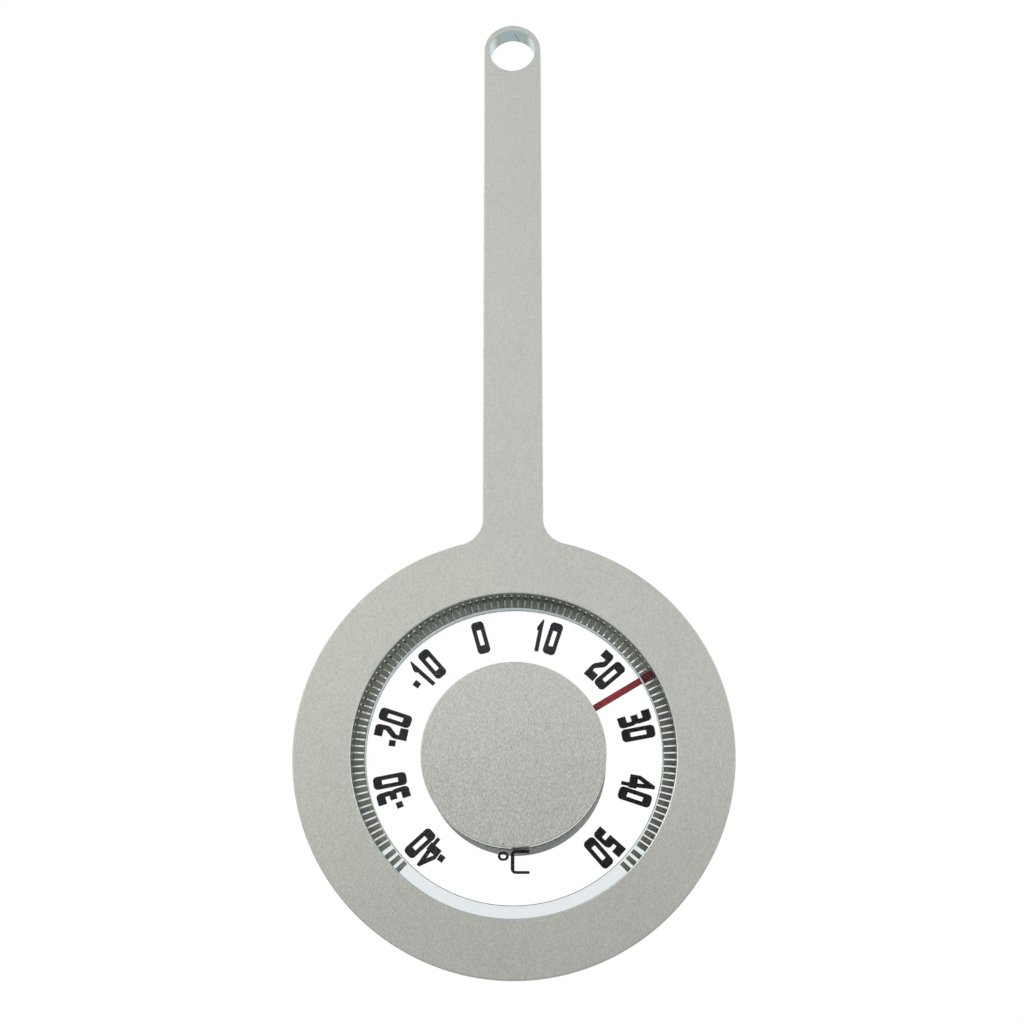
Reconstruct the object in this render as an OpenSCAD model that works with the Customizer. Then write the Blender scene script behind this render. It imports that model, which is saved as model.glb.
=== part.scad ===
// Window thermometer: a flat metal ring on a long arm with a hanging eye, a clear dial held
// in the ring, and a bimetal movement in a round housing behind the dial.
// The origin is the centre of the hanging eye, halfway through the plate. The dial faces -Y.
// Depths are counted from the front face of the plate towards +Y.

/* [Frame plate] */
// Outer diameter of the ring
ring_d = 110; // [104:1:126]
// Diameter of the window through the ring
window_d = 80.6; // [78:0.2:84]
// Thickness of the plate
plate_t = 6; // [5.4:0.1:7]
// Width of the arm
arm_w = 15.5; // [14.5:0.1:22]
// Diameter of the hanging eye
eye_d = 12.5; // [8:0.1:13.5]
// Height of the eye above the centre of the dial
eye_rise = 194.7; // [120:0.1:240]
// Radius of the fillets between the arm and the ring
fillet_r = 7; // [3:0.5:14]
// Chamfer on the front edge of the window
edge_break = 0.4; // [0.1:0.05:0.8]
// Thickness of the lip that the dial rests against
lip_t = 4; // [3:0.1:4.2]
// Overlap of the lip over the clear cover
lip_overlap = 3.6; // [3:0.1:3.8]

/* [Clear cover] */
// Depth of the cover's raised rim behind the front of the plate
rim_sink = 2.4; // [0.4:0.1:2.6]
// Height of the rim above the flat of the cover
rim_h = 3.1; // [2.2:0.1:3.6]
// Width of the rim
rim_w = 3.05; // [2:0.05:5]
// Thickness of the flat of the cover
web_t = 1.4; // [1:0.1:2.5]
// Radial gap between the clear discs and the metal round them
fit_gap = 0.05; // [0.02:0.01:0.1]

/* [Dial] */
// Width of the air space that the pointer turns in
pointer_space = 1.5; // [1.4:0.1:2.5]
// Thickness of the clear dial
dial_t = 2; // [1.6:0.1:3]
// Thickness of the printing
print_t = 0.1; // [0.05:0.01:0.15]
// Angle by which the printed dial is turned in its seat
dial_angle = -0.4; // [-5:0.1:5]
// Height of the numerals
numeral_h = 8.5; // [6:0.1:9.6]
// Gap between the numerals and the tick band
numeral_gap = 1.5; // [0.8:0.1:2.4]
// Radial length of the ticks
tick_h = 3.8; // [3:0.1:4.4]
// Width of the printed ring that joins the ticks
tick_rim = 0.3; // [0.2:0.05:1]
// Angle between neighbouring ticks
tick_angle = 2.5; // [2:0.5:5]
// Angle that the slot between two ticks takes up
slot_angle = 0.55; // [0.3:0.05:1]
// Height of the unit mark
unit_h = 5.9; // [4:0.1:6]
// Stroke of the unit mark
unit_stroke = 0.7; // [0.4:0.05:0.9]
// Gap between the edge of the knob and the unit mark
unit_gap = 0; // [0:0.1:2]

/* [Knob and pointer] */
// Diameter of the front knob
knob_d = 46.4; // [40:0.1:46.8]
// Thickness of the front knob
knob_t = 3; // [2:0.1:4]
// Chamfer round the front of the knob
knob_break = 0.25; // [0.1:0.05:0.6]
// Thickness of the adhesive pad behind the knob
pad_t = 0.3; // [0.2:0.05:0.5]
// Width of the pointer
pointer_w = 1.7; // [1:0.1:3]
// Thickness of the pointer
pointer_t = 0.4; // [0.3:0.05:0.5]
// Reach of the pointer's tip behind the edge of the window
pointer_reach = 0.7; // [-2:0.1:1]
// Distance of the counterweight's middle from the axis of the pointer
tail_r = 15.5; // [12:0.5:17]
// Diameter of the counterweight
weight_d = 10; // [6:0.2:10.4]
// Resting angle of the pointer, from the right
pointer_angle = 30.6; // [0:0.1:90]

/* [Movement] */
// Diameter of the arbor
arbor_d = 2; // [1.6:0.1:2.4]
// Radial clearance of the arbor in its bushes
arbor_gap = 0.05; // [0.02:0.01:0.1]
// Diameter of the front bush
bush_d = 5.2; // [4.4:0.1:5.6]
// Thickness of the movement plate
base_t = 1.2; // [1:0.1:1.6]
// Width of the bimetal strip
coil_w = 4.4; // [3.6:0.1:4.6]
// Thickness of the bimetal strip
coil_t = 0.6; // [0.4:0.05:0.7]
// Distance between neighbouring turns of the bimetal coil
coil_pitch = 1.6; // [1.5:0.05:2]
// Diameter of the collet that clamps the coil on the arbor
collet_d = 5.4; // [4.4:0.1:5.6]
// Diameter of the post that holds the outer end of the coil
post_d = 2; // [1.8:0.1:2.2]
// Width of the anchor plate outside the post
anchor_edge = 0.9; // [0.6:0.1:1.4]
// Thickness of the anchor plate
anchor_t = 0.8; // [0.6:0.1:1]
// Diameter of the anchor plate's sleeve
sleeve_d = 8; // [7.4:0.1:8.4]
// Diameter of the rear bush
rear_bush_d = 4.8; // [4.2:0.1:5]
// Thickness of the bridge
bridge_t = 1.2; // [1:0.1:1.4]
// Diameter of the pillars
pillar_d = 3.2; // [2.8:0.1:3.4]

/* [Housings] */
// Outer diameter of the movement housing
housing_d = 46.4; // [41:0.1:52]
// Wall of the movement housing
housing_wall = 1.2; // [1:0.1:1.3]
// Air behind the movement, in front of the rear cover
cover_air = 1.2; // [0.8:0.1:5]
// Thickness of the rear cover
cover_t = 1.5; // [1.2:0.1:1.6]
// Number of vent slots in the rear cover
vent_count = 12; // [6:3:12]
// Width of a vent slot
vent_w = 1.6; // [1:0.1:2]
// Width of the rear ring's flange outside the circle of its screws
flange_edge = 2.8; // [2.4:0.1:3.4]
// Thickness of the rear ring's flange, behind the plate
flange_t = 6; // [5.6:0.1:7]
// Wall of the rear ring's tube
tube_wall = 2.7; // [2:0.1:3.4]
// Height of the rear ring's tube above its flange
tube_h = 7.5; // [4:0.1:10]
// Thickness of the gaskets
gasket_t = 0.4; // [0.2:0.05:0.5]

/* [Screws] */
// Number of screws that hold the rear ring
ring_screw_count = 6; // [4:1:8]
// Distance of the rear ring's screws from the edge of the seat
ring_screw_inset = 2.8; // [2.4:0.1:3.2]
// Diameter of the rear ring's screws
ring_screw_d = 2.5; // [2:0.1:2.6]
// Diameter of the rear ring's screw heads
ring_head_d = 4.2; // [3.8:0.1:4.6]
// Height of the rear ring's screw heads
ring_head_h = 1.6; // [1.2:0.1:2]
// How far the rear ring's screws reach into the plate
ring_bite = 3.6; // [2:0.1:4.4]
// Diameter of the small screws in the movement and its housing
small_screw_d = 2; // [1.6:0.1:2.2]
// Diameter of the small screws' countersunk heads
small_head_d = 3.8; // [3.4:0.1:4]
// Height of the small screws' heads
small_head_h = 0.9; // [0.8:0.05:1]
// How far the bosses sink into the wall of the housing
boss_sink = 0.2; // [0.1:0.05:0.5]
// Diameter of the bosses
boss_d = 6.4; // [6:0.1:6.6]
// How far a small screw reaches into its boss
boss_bite = 4.6; // [3:0.1:4.8]

/* [Hidden] */
$fn = 144;

// How far a cutting shape runs past the face that it cuts
past = 1;
// Air between pieces that turn past each other
air = 0.2;
// Margin of the printing inside the spacer
print_margin = 0.2;
// Play of a screw in its clearance hole
screw_play = 0.05;
// Play of the sleeve in the bridge
sleeve_play = 0.06;

ring_r = ring_d / 2;
window_r = window_d / 2;
arm_half = arm_w / 2;
knob_r = knob_d / 2;
arbor_r = arbor_d / 2;
collet_r = collet_d / 2;
bush_r = bush_d / 2;
post_r = post_d / 2;
pillar_r = pillar_d / 2;
sleeve_r = sleeve_d / 2;
rear_bush_r = rear_bush_d / 2;
housing_r = housing_d / 2;
boss_r = boss_d / 2;
small_r = small_screw_d / 2;
small_head_r = small_head_d / 2;
ring_screw_r = ring_screw_d / 2;
ring_head_r = ring_head_d / 2;

// The clear discs sit in the seat behind the lip, inside the rear ring's rabbet
seat_r = window_r + lip_overlap;
disc_r = seat_r - fit_gap;
rim_out_r = window_r - fit_gap;
rim_in_r = rim_out_r - rim_w;
gasket_in_r = window_r + gasket_t;

// Depths of the stack, from the front of the plate to the back of the dial
cover_front = lip_t + gasket_t;
web_front = rim_sink + rim_h;
web_back = web_front + web_t;
dial_front = web_back + pointer_space;
dial_back = dial_front + dial_t;
ring_seat = dial_back + gasket_t;
flange_back = plate_t + flange_t;
tube_r = window_r + tube_wall;
tube_back = flange_back + tube_h;
ring_screw_circle_r = seat_r + ring_screw_inset;
flange_r = ring_screw_circle_r + flange_edge;

// The spacer stands clear of the tip of the pointer, and the printing fills it
pointer_tip_gap = 0.6;
pointer_r = window_r + pointer_reach;
spacer_in_r = pointer_r + pointer_tip_gap;
tick_out_r = spacer_in_r - print_margin;
tick_in_r = tick_out_r - tick_h;
slot_out_r = tick_out_r - tick_rim;
numeral_r = tick_in_r - numeral_gap - numeral_h / 2;
unit_drop = knob_r + unit_gap + unit_h / 2;

// The pointer turns in the middle of the space between the cover and the dial
hub_flange_t = 0.3;
hub_flange_r = 3.5;
hub_wall = 0.8;
pointer_front = web_back + (pointer_space - pointer_t - print_t) / 2;
pointer_back = pointer_front + pointer_t;
hub_front = pointer_front - hub_flange_t;
hub_r = arbor_r + hub_wall;
hub_back = dial_front + hub_flange_t;
bush_hole_r = bush_r + hub_flange_t;

// The movement stands on its plate behind the dial
bush_flange_t = 0.6;
bush_flange_r = bush_r + 2 * bush_flange_t;
coil_air = 0.5;
bush_front = hub_back + air;
base_back = dial_back + base_t;
bush_back = base_back + bush_flange_t;
collet_front = bush_back + air;
coil_front = collet_front + coil_air;
coil_back = coil_front + coil_w;
collet_back = coil_back + air;
anchor_front = collet_back + air;
anchor_back = anchor_front + anchor_t;
washer_t = 0.4;
washer_w = 3;
washer_front = anchor_back + air / 2;
bridge_front = washer_front + washer_t;
bridge_back = bridge_front + bridge_t;
clip_front = bridge_back + air / 2;
clip_t = 0.6;
clip_groove = 0.3;
clip_w = 1.4;
sleeve_end = 1.1;
sleeve_back = clip_front + clip_t + sleeve_end;
spigot_t = 0.6;
rear_bush_front = anchor_front + air;
rear_bush_back = sleeve_back - spigot_t;
arbor_back = rear_bush_back - 2 * air;

// The slotted head turns in the hole of the rear cover
head_edge = 1;
adjuster_r = sleeve_r + head_edge;
adjuster_hole_r = adjuster_r + hub_flange_t;
adjuster_t = 2.2;
adjuster_back = sleeve_back + adjuster_t;
adjuster_slot = [1.2, 1.2];

// The housing closes round the movement: bosses, pillars and coil stand inside one another
housing_front = dial_back + gasket_t;
cover_face = sleeve_back + cover_air;
housing_back = cover_face + cover_t;
housing_in_r = housing_r - housing_wall;
base_r = housing_in_r - air;
boss_circle_r = housing_in_r + boss_sink - boss_r;
boss_gap = 1.2;
anchor_r = boss_circle_r - boss_r - boss_gap;
coil_out_r = anchor_r - anchor_edge - post_r;
coil_in_r = collet_r + arbor_gap + coil_t / 2;
coil_turns = (coil_out_r - coil_in_r) / coil_pitch;
pillar_gap = 0.8;
pillar_circle_r = anchor_r + pillar_gap + pillar_r;
pillar_screw_r = pillar_r / 2;
pad_edge = 0.4;
cover_break = 0.5;

// Directions of the repeated fasteners
boss_angles = [30, 150, 270];
pillar_angles = [90, 210, 330];

// The printed scale: the angle of 0, the angle of ten degrees, and the angles of its two ends
zero_angle = 105;
ten_angle = 30;
low_angle = zero_angle + 4 * ten_angle;
high_angle = zero_angle - 5 * ten_angle;
middle_angle = (low_angle + high_angle) / 2;
end_angle = 0.55;
// The last three slots at each end are wider: angles from the middle, and angles taken up
end_slot_angles = [[126.9, 1.6], [130.1, 1.1], [133.1, 1.2]];
last_slot_angle = 124;
// The tens of each numeral, and the angle between its mark and its middle
numeral_angles = [
    [-4, 1.2], [-3, -0.5], [-2, 0.3], [-1, 0], [0, 1], [1, 0.6], [2, -1.1], [3, -0.9],
    [4, 0], [5, -0.2]];
// The digits are drawn on a grid of this many steps from foot to top
grid_steps = 85;
// Grid steps along the arc between the middles of neighbouring characters
digit_steps = 38;
minus_steps = 27.5;
// Grid steps of the minus sign's box: its width, its height, and its place below the middle
minus_box_steps = [15.5, 17, 7.5];

// The dial's centre, at the front face of the plate
module at_dial() { translate([0, -plate_t / 2, -eye_rise]) children(); }

// A drawing seen from the front, X right and Y up, given thickness between two depths
module sheet(from, to) {
    translate([0, to, 0]) rotate([90, 0, 0]) linear_extrude(height = to - from) children();
}

// A shape turned about the dial's axis from a profile of [radius, depth] points
module turned(profile) { rotate([-90, 0, 0]) rotate_extrude() polygon(profile); }

module disc(from, to, r) {
    translate([0, from, 0]) rotate([-90, 0, 0]) cylinder(h = to - from, r = r);
}

module cone(from, to, r_from, r_to) {
    translate([0, from, 0]) rotate([-90, 0, 0]) cylinder(h = to - from, r1 = r_from, r2 = r_to);
}

module tube(from, to, r_in, r_out) {
    difference() {
        disc(from, to, r_out);
        disc(from - past, to + past, r_in);
    }
}

// Copies of a shape at the given directions on a circle, counted from the right
module around(angles, r) {
    for (a = angles) translate([r * cos(a), 0, r * sin(a)]) children();
}

function ring_screw_angles() = [for (i = [0 : ring_screw_count - 1])
    90 + (i + 0.5) * 360 / ring_screw_count];

// Frame plate and what is fastened to it

module plate_outline() {
    corner = [arm_half + fillet_r, sqrt(pow(ring_r + fillet_r, 2) - pow(arm_half + fillet_r, 2))];
    foot = corner * ring_r / (ring_r + fillet_r);
    circle(r = ring_r);
    translate([-arm_half, window_r]) square([arm_w, eye_rise - window_r]);
    translate([0, eye_rise]) circle(r = arm_half);
    for (side = [0, 1]) mirror([side, 0]) difference() {
        polygon([[0, foot[1]], foot, corner, [arm_half, corner[1]], [0, corner[1]]]);
        translate(corner) circle(r = fillet_r);
    }
}

module frame_plate() {
    color([0.72, 0.74, 0.71]) at_dial() difference() {
        sheet(0, plate_t) plate_outline();
        disc(-past, plate_t + past, window_r);
        cone(0, edge_break, window_r + edge_break, window_r);
        disc(lip_t, plate_t + past, seat_r);
        translate([0, 0, eye_rise]) disc(-past, plate_t + past, eye_d / 2);
        around(ring_screw_angles(), ring_screw_circle_r)
            disc(plate_t - ring_bite, plate_t + past, ring_screw_r);
    }
}

module front_gasket() {
    color([0.12, 0.12, 0.12]) at_dial() tube(lip_t, cover_front, gasket_in_r, disc_r);
}

module clear_cover() {
    color([0.88, 0.93, 0.95, 0.4]) at_dial() turned([
        [0, web_front], [rim_in_r, web_front], [rim_in_r, rim_sink], [rim_out_r, rim_sink],
        [rim_out_r, cover_front], [disc_r, cover_front], [disc_r, web_back], [0, web_back]]);
}

module spacer_ring() {
    color([0.75, 0.76, 0.75]) at_dial() tube(web_back, dial_front, spacer_in_r, disc_r);
}

module rear_gasket() {
    color([0.12, 0.12, 0.12]) at_dial() tube(dial_back, ring_seat, gasket_in_r, disc_r);
}

module rear_ring() {
    color([0.66, 0.68, 0.66]) at_dial() difference() {
        turned([
            [seat_r, plate_t], [flange_r, plate_t], [flange_r, flange_back],
            [tube_r, flange_back], [tube_r, tube_back], [window_r, tube_back],
            [window_r, ring_seat], [seat_r, ring_seat]]);
        around(ring_screw_angles(), ring_screw_circle_r)
            disc(plate_t - past, flange_back + past, ring_screw_r + screw_play);
    }
}

module ring_screws() {
    socket_r = ring_head_r / 2;
    color([0.55, 0.56, 0.57]) at_dial() around(ring_screw_angles(), ring_screw_circle_r)
        difference() {
            union() {
                disc(plate_t - ring_bite, flange_back, ring_screw_r);
                disc(flange_back, flange_back + ring_head_h, ring_head_r);
            }
            translate([0, flange_back + ring_head_h / 2, 0]) rotate([-90, 0, 0])
                cylinder(h = ring_head_h, r = socket_r, $fn = 6);
        }
}

// Dial and its printing

module dial_plate() {
    color([0.88, 0.93, 0.95, 0.4]) at_dial() difference() {
        disc(dial_front, dial_back, disc_r);
        disc(dial_front - past, dial_back + past, bush_hole_r);
        around(boss_angles, boss_circle_r) {
            disc(dial_front - past, dial_back + past, small_r + screw_play);
            cone(dial_front, dial_front + small_head_h, small_head_r, small_r);
        }
    }
}

// The printing lies on the front face of the dial
module printed() {
    at_dial() sheet(dial_front - print_t, dial_front) rotate(dial_angle) children();
}

// A slot between two ticks, at the angle a and w degrees wide
module tick_gap(a, w) {
    half = tan(w / 2);
    rotate(a) polygon([
        [tick_in_r - past, -half * tick_in_r], [slot_out_r, -half * slot_out_r],
        [slot_out_r, half * slot_out_r], [tick_in_r - past, half * tick_in_r]]);
}

module tick_band() {
    bare_half = (360 - (low_angle - high_angle)) / 2 - end_angle;
    bare_r = tick_out_r * 2;
    color([0.3, 0.3, 0.27]) printed() difference() {
        circle(r = tick_out_r);
        circle(r = tick_in_r);
        rotate(middle_angle + 180) polygon([
            [0, 0], [bare_r, -bare_r * tan(bare_half)], [bare_r, bare_r * tan(bare_half)]]);
        for (side = [-1, 1]) {
            for (a = [tick_angle / 2 : tick_angle : last_slot_angle])
                tick_gap(middle_angle + side * a, slot_angle);
            for (slot = end_slot_angles) tick_gap(middle_angle + side * slot[0], slot[1]);
        }
    }
}

// The digits stand on y = 0 and are centred on x = 0
module digit_zero() {
    w = 33;
    corner = 10.5;
    counter = [11, 40.5];
    difference() {
        union() {
            translate([-w / 2, corner]) square([w, grid_steps - 2 * corner]);
            translate([corner - w / 2, 0]) square([w - 2 * corner, grid_steps]);
            for (x = [corner - w / 2, w / 2 - corner], y = [corner, grid_steps - corner])
                translate([x, y]) circle(r = corner);
        }
        translate([-counter[0] / 2, (grid_steps - counter[1]) / 2]) square(counter);
    }
}

module digit_one() {
    polygon([
        [-3.2, 0], [7.4, 0], [7.4, 85], [3.8, 85], [-7.4, 63], [-6.6, 55.5],
        [-3.2, 54]]);
}

module digit_two() {
    polygon([
        [-15.2, 0], [15.2, 0], [15.2, 21.5], [-3.5, 21.5], [-3.5, 28.5], [12.5, 46.5],
        [15, 54], [15, 75], [13, 81.5], [8.5, 85], [-15.2, 85], [-15.2, 63],
        [2.5, 63], [2.5, 57.5], [-12, 39.5], [-14.8, 32]]);
}

module digit_three() {
    polygon([
        [-14, 0], [7.5, 0], [13, 3.5], [15.2, 11], [15.2, 35.5], [13, 43], [14.7, 50],
        [14.7, 75], [12.5, 81.5], [7.5, 85], [-15, 85], [-15, 63], [2.5, 63],
        [2.5, 52], [-10, 52], [-10, 34], [3.5, 34], [3.5, 21.5], [-14, 21.5]]);
}

module digit_four() {
    difference() {
        polygon([
            [5, 0], [14.5, 0], [14.5, 19], [17.5, 19], [17.5, 40], [14, 40], [9.8, 85],
            [2, 85], [-17.2, 45], [-16.2, 19], [5, 19]]);
        polygon([[-7.8, 40], [3.2, 40], [1.5, 57]]);
    }
}

module digit_five() {
    polygon([
        [-14, 0], [7.5, 0], [13, 3.5], [15.2, 11], [15.2, 43], [12.5, 50], [7.5, 53.5],
        [-3.8, 53.5], [-3.8, 63], [13.2, 63], [13.2, 85], [-15.2, 85], [-15.2, 32.5],
        [3.5, 32.5], [3.5, 21.5], [-14, 21.5]]);
}

module digit(n) {
    if (n == 0) digit_zero();
    if (n == 1) digit_one();
    if (n == 2) digit_two();
    if (n == 3) digit_three();
    if (n == 4) digit_four();
    if (n == 5) digit_five();
}

// A character stands upright, a number of grid steps along the arc from the direction a
module on_arc(a, steps) {
    step = numeral_h / grid_steps;
    rotate(a - steps * step / numeral_r * 180 / PI - 90) translate([0, numeral_r])
        scale(step) translate([0, -grid_steps / 2]) children();
}

module numerals() {
    color([0.13, 0.15, 0.17]) printed() for (numeral = numeral_angles) {
        tens = numeral[0];
        a = zero_angle - tens * ten_angle + numeral[1];
        if (tens == 0) {
            on_arc(a, 0) digit(0);
        } else {
            on_arc(a, -digit_steps / 2) digit(abs(tens));
            on_arc(a, digit_steps / 2) digit(0);
        }
        if (tens < 0) on_arc(a, -digit_steps / 2 - minus_steps)
            translate([-minus_box_steps[0] / 2, (grid_steps - minus_box_steps[1]) / 2 - minus_box_steps[2]])
                square([minus_box_steps[0], minus_box_steps[1]]);
    }
}

// A bar with round ends
module pill(w, h) {
    square([w - h, h], center = true);
    for (side = [-1, 1]) translate([side * (w - h) / 2, 0]) circle(r = h / 2);
}

module unit_mark() {
    letter_w = unit_h * 0.79;
    letter_x = -unit_h * 0.12;
    corner = unit_stroke * 1.75;
    upright = unit_stroke * 1.3;
    inner_foot = unit_stroke;
    inner_top = unit_h - unit_stroke * 1.15;
    inner_r = corner - upright;
    degree_w = unit_h * 0.465;
    degree_h = unit_h * 0.38;
    degree_x = -unit_h * 0.435;
    color([0.08, 0.09, 0.1]) printed() translate([0, -unit_drop]) {
        translate([degree_x, unit_h * 0.46 - degree_h / 2 - unit_stroke * 0.3]) difference() {
            pill(degree_w, degree_h);
            pill(degree_w - unit_stroke * 1.95, degree_h - unit_stroke * 1.6);
        }
        translate([letter_x, -unit_h / 2]) difference() {
            union() {
                translate([corner, 0]) square([letter_w - corner, unit_h]);
                translate([0, corner]) square([corner, unit_h - 2 * corner]);
                for (y = [corner, unit_h - corner]) translate([corner, y]) circle(r = corner);
            }
            translate([corner, inner_foot])
                square([letter_w - corner + past, inner_top - inner_foot]);
            translate([upright, inner_foot + inner_r])
                square([corner, inner_top - inner_foot - 2 * inner_r]);
            for (y = [inner_foot + inner_r, inner_top - inner_r])
                translate([corner, y]) circle(r = inner_r);
        }
    }
}

// Knob and pointer

module front_knob() {
    front = web_front - pad_t - knob_t;
    back = web_front - pad_t;
    color([0.7, 0.71, 0.67]) at_dial() turned([
        [0, front], [knob_r - knob_break, front], [knob_r, front + knob_break],
        [knob_r, back], [0, back]]);
}

module knob_pad() {
    color([0.85, 0.85, 0.83]) at_dial() disc(web_front - pad_t, web_front, knob_r - pad_t);
}

module pointer() {
    color([0.62, 0.13, 0.15]) at_dial() difference() {
        rotate([0, -pointer_angle, 0]) union() {
            translate([-tail_r, pointer_front, -pointer_w / 2])
                cube([tail_r + pointer_r, pointer_t, pointer_w]);
            disc(pointer_front, pointer_back, hub_flange_r);
            translate([-tail_r, 0, 0]) disc(pointer_front, pointer_back, weight_d / 2);
        }
        disc(pointer_front - past, pointer_back + past, hub_r);
    }
}

module pointer_hub() {
    color([0.78, 0.68, 0.42]) at_dial() difference() {
        union() {
            disc(hub_front, pointer_front, hub_flange_r);
            disc(pointer_front, hub_back, hub_r);
        }
        disc(hub_front - past, hub_back + past, arbor_r);
    }
}

// Movement

module arbor() {
    color([0.6, 0.62, 0.64]) at_dial() disc(hub_front, arbor_back, arbor_r);
}

module front_bush() {
    color([0.78, 0.68, 0.42]) at_dial() difference() {
        union() {
            disc(bush_front, base_back, bush_r);
            disc(base_back, bush_back, bush_flange_r);
        }
        disc(bush_front - past, bush_back + past, arbor_r + arbor_gap);
    }
}

module movement_plate() {
    color([0.8, 0.7, 0.45]) at_dial() difference() {
        disc(dial_back, base_back, base_r);
        disc(dial_back - past, base_back + past, bush_r);
        around(boss_angles, boss_circle_r)
            disc(dial_back - past, base_back + past, small_r + screw_play);
    }
}

module pillars() {
    color([0.78, 0.68, 0.42]) at_dial() around(pillar_angles, pillar_circle_r) difference() {
        disc(base_back, bridge_front, pillar_r);
        disc(bridge_front - boss_bite, bridge_front + past, pillar_screw_r);
    }
}

module bridge() {
    color([0.8, 0.7, 0.45]) at_dial() difference() {
        union() {
            disc(bridge_front, bridge_back, sleeve_r + washer_w + pad_edge);
            around(pillar_angles, pillar_circle_r)
                disc(bridge_front, bridge_back, pillar_r + pad_edge);
            for (a = pillar_angles) rotate([0, -a, 0])
                translate([0, bridge_front, -pillar_r])
                    cube([pillar_circle_r, bridge_t, pillar_d]);
        }
        disc(bridge_front - past, bridge_back + past, sleeve_r + sleeve_play);
        around(pillar_angles, pillar_circle_r)
            disc(bridge_front - past, bridge_back + past, pillar_screw_r + screw_play);
    }
}

module bridge_screws() {
    color([0.55, 0.56, 0.57]) at_dial() around(pillar_angles, pillar_circle_r) difference() {
        union() {
            disc(bridge_front - boss_bite, bridge_back, pillar_screw_r);
            disc(bridge_back, bridge_back + small_head_h, pillar_r);
        }
        translate([-pillar_d, bridge_back + small_head_h / 2, -small_head_h / 4])
            cube([pillar_d * 2, small_head_h, small_head_h / 2]);
    }
}

module coil_collet() {
    color([0.78, 0.68, 0.42]) at_dial() tube(collet_front, collet_back, arbor_r, collet_r);
}

// A point of the spiral, a share of the way from its inner to its outer end, which lies at the
// right, and off from the middle of the strip
function coil_point(share, off) =
    let (r = coil_in_r + (coil_out_r - coil_in_r) * share + off,
         a = 360 * coil_turns * (share - 1))
    [r * cos(a), r * sin(a)];

module bimetal_coil() {
    last = ceil(coil_turns * 36);
    color([0.6, 0.5, 0.36]) at_dial() sheet(coil_front, coil_back) polygon(concat(
        [for (i = [0 : last]) coil_point(i / last, coil_t / 2)],
        [for (i = [0 : last]) coil_point((last - i) / last, -coil_t / 2)]));
}

// The post's slot holds the end of the strip
module anchor_post() {
    // The strip leans inwards across the width of the post
    spread = asin(post_r / coil_out_r);
    lean = coil_out_r - coil_point(1 - spread / 360 / coil_turns, 0)[0];
    slot_w = coil_t + lean + 2 * fit_gap;
    color([0.6, 0.62, 0.64]) at_dial() difference() {
        translate([coil_out_r, 0, 0]) disc(coil_front, anchor_front, post_r);
        translate([coil_out_r - lean / 2 - slot_w / 2, coil_front - past, -post_d])
            cube([slot_w, coil_w + past + air, post_d + post_r]);
    }
}

module anchor_plate() {
    color([0.8, 0.7, 0.45]) at_dial() difference() {
        union() {
            disc(anchor_front, anchor_back, anchor_r);
            disc(anchor_back, sleeve_back, sleeve_r);
        }
        disc(anchor_front - past, sleeve_back + past, rear_bush_r);
        tube(clip_front, clip_front + clip_t, sleeve_r - clip_groove, sleeve_r + past);
    }
}

module friction_washer() {
    color([0.55, 0.56, 0.57]) at_dial()
        tube(washer_front, bridge_front, sleeve_r + sleeve_play, sleeve_r + washer_w);
}

module rear_bush() {
    color([0.78, 0.68, 0.42]) at_dial()
        tube(rear_bush_front, rear_bush_back, arbor_r + arbor_gap, rear_bush_r);
}

module sleeve_clip() {
    color([0.55, 0.56, 0.57]) at_dial() difference() {
        tube(clip_front, clip_front + clip_t, sleeve_r - clip_groove, sleeve_r + clip_w);
        translate([-sleeve_r / 2, clip_front - past, 0])
            cube([sleeve_r, clip_t + 2 * past, sleeve_d]);
    }
}

module adjuster_head() {
    color([0.78, 0.68, 0.42]) at_dial() difference() {
        union() {
            disc(rear_bush_back, sleeve_back, rear_bush_r);
            disc(sleeve_back, adjuster_back, adjuster_r);
        }
        translate([-adjuster_r - past, adjuster_back - adjuster_slot[1], -adjuster_slot[0] / 2])
            cube([2 * (adjuster_r + past), adjuster_slot[1] + past, adjuster_slot[0]]);
    }
}

// Housing of the movement

module housing_gasket() {
    color([0.12, 0.12, 0.12]) at_dial() tube(dial_back, housing_front, housing_in_r, housing_r);
}

module rear_housing() {
    color([0.52, 0.55, 0.52]) at_dial() difference() {
        union() {
            tube(housing_front, cover_face, housing_in_r, housing_r);
            around(boss_angles, boss_circle_r) disc(base_back, cover_face, boss_r);
        }
        around(boss_angles, boss_circle_r) {
            disc(base_back - past, base_back + boss_bite, small_r);
            disc(cover_face - boss_bite, cover_face + past, small_r);
        }
    }
}

module housing_screws() {
    color([0.55, 0.56, 0.57]) at_dial() around(boss_angles, boss_circle_r) difference() {
        union() {
            cone(dial_front, dial_front + small_head_h, small_head_r, small_r);
            disc(dial_front, base_back + boss_bite, small_r);
        }
        translate([-small_head_d, dial_front - past, -small_head_h / 4])
            cube([small_head_d * 2, past + small_head_h / 2, small_head_h / 2]);
    }
}

module rear_cover() {
    vent_edge = 1.4;
    vent_in_r = adjuster_hole_r + vent_edge + vent_w / 2;
    vent_out_r = boss_circle_r - small_head_r - vent_edge;
    color([0.6, 0.62, 0.6]) at_dial() difference() {
        turned([
            [adjuster_hole_r, cover_face], [housing_r, cover_face],
            [housing_r, housing_back - cover_break], [housing_r - cover_break, housing_back],
            [adjuster_hole_r, housing_back]]);
        for (i = [0 : vent_count - 1]) rotate([0, -360 * (i + 0.5) / vent_count, 0]) {
            translate([vent_in_r, cover_face - past, -vent_w / 2])
                cube([vent_out_r - vent_in_r, cover_t + 2 * past, vent_w]);
            for (r = [vent_in_r, vent_out_r]) translate([r, 0, 0])
                disc(cover_face - past, housing_back + past, vent_w / 2);
        }
        around(boss_angles, boss_circle_r) {
            disc(cover_face - past, housing_back + past, small_r + screw_play);
            cone(housing_back - small_head_h, housing_back, small_r, small_head_r);
        }
    }
}

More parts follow.
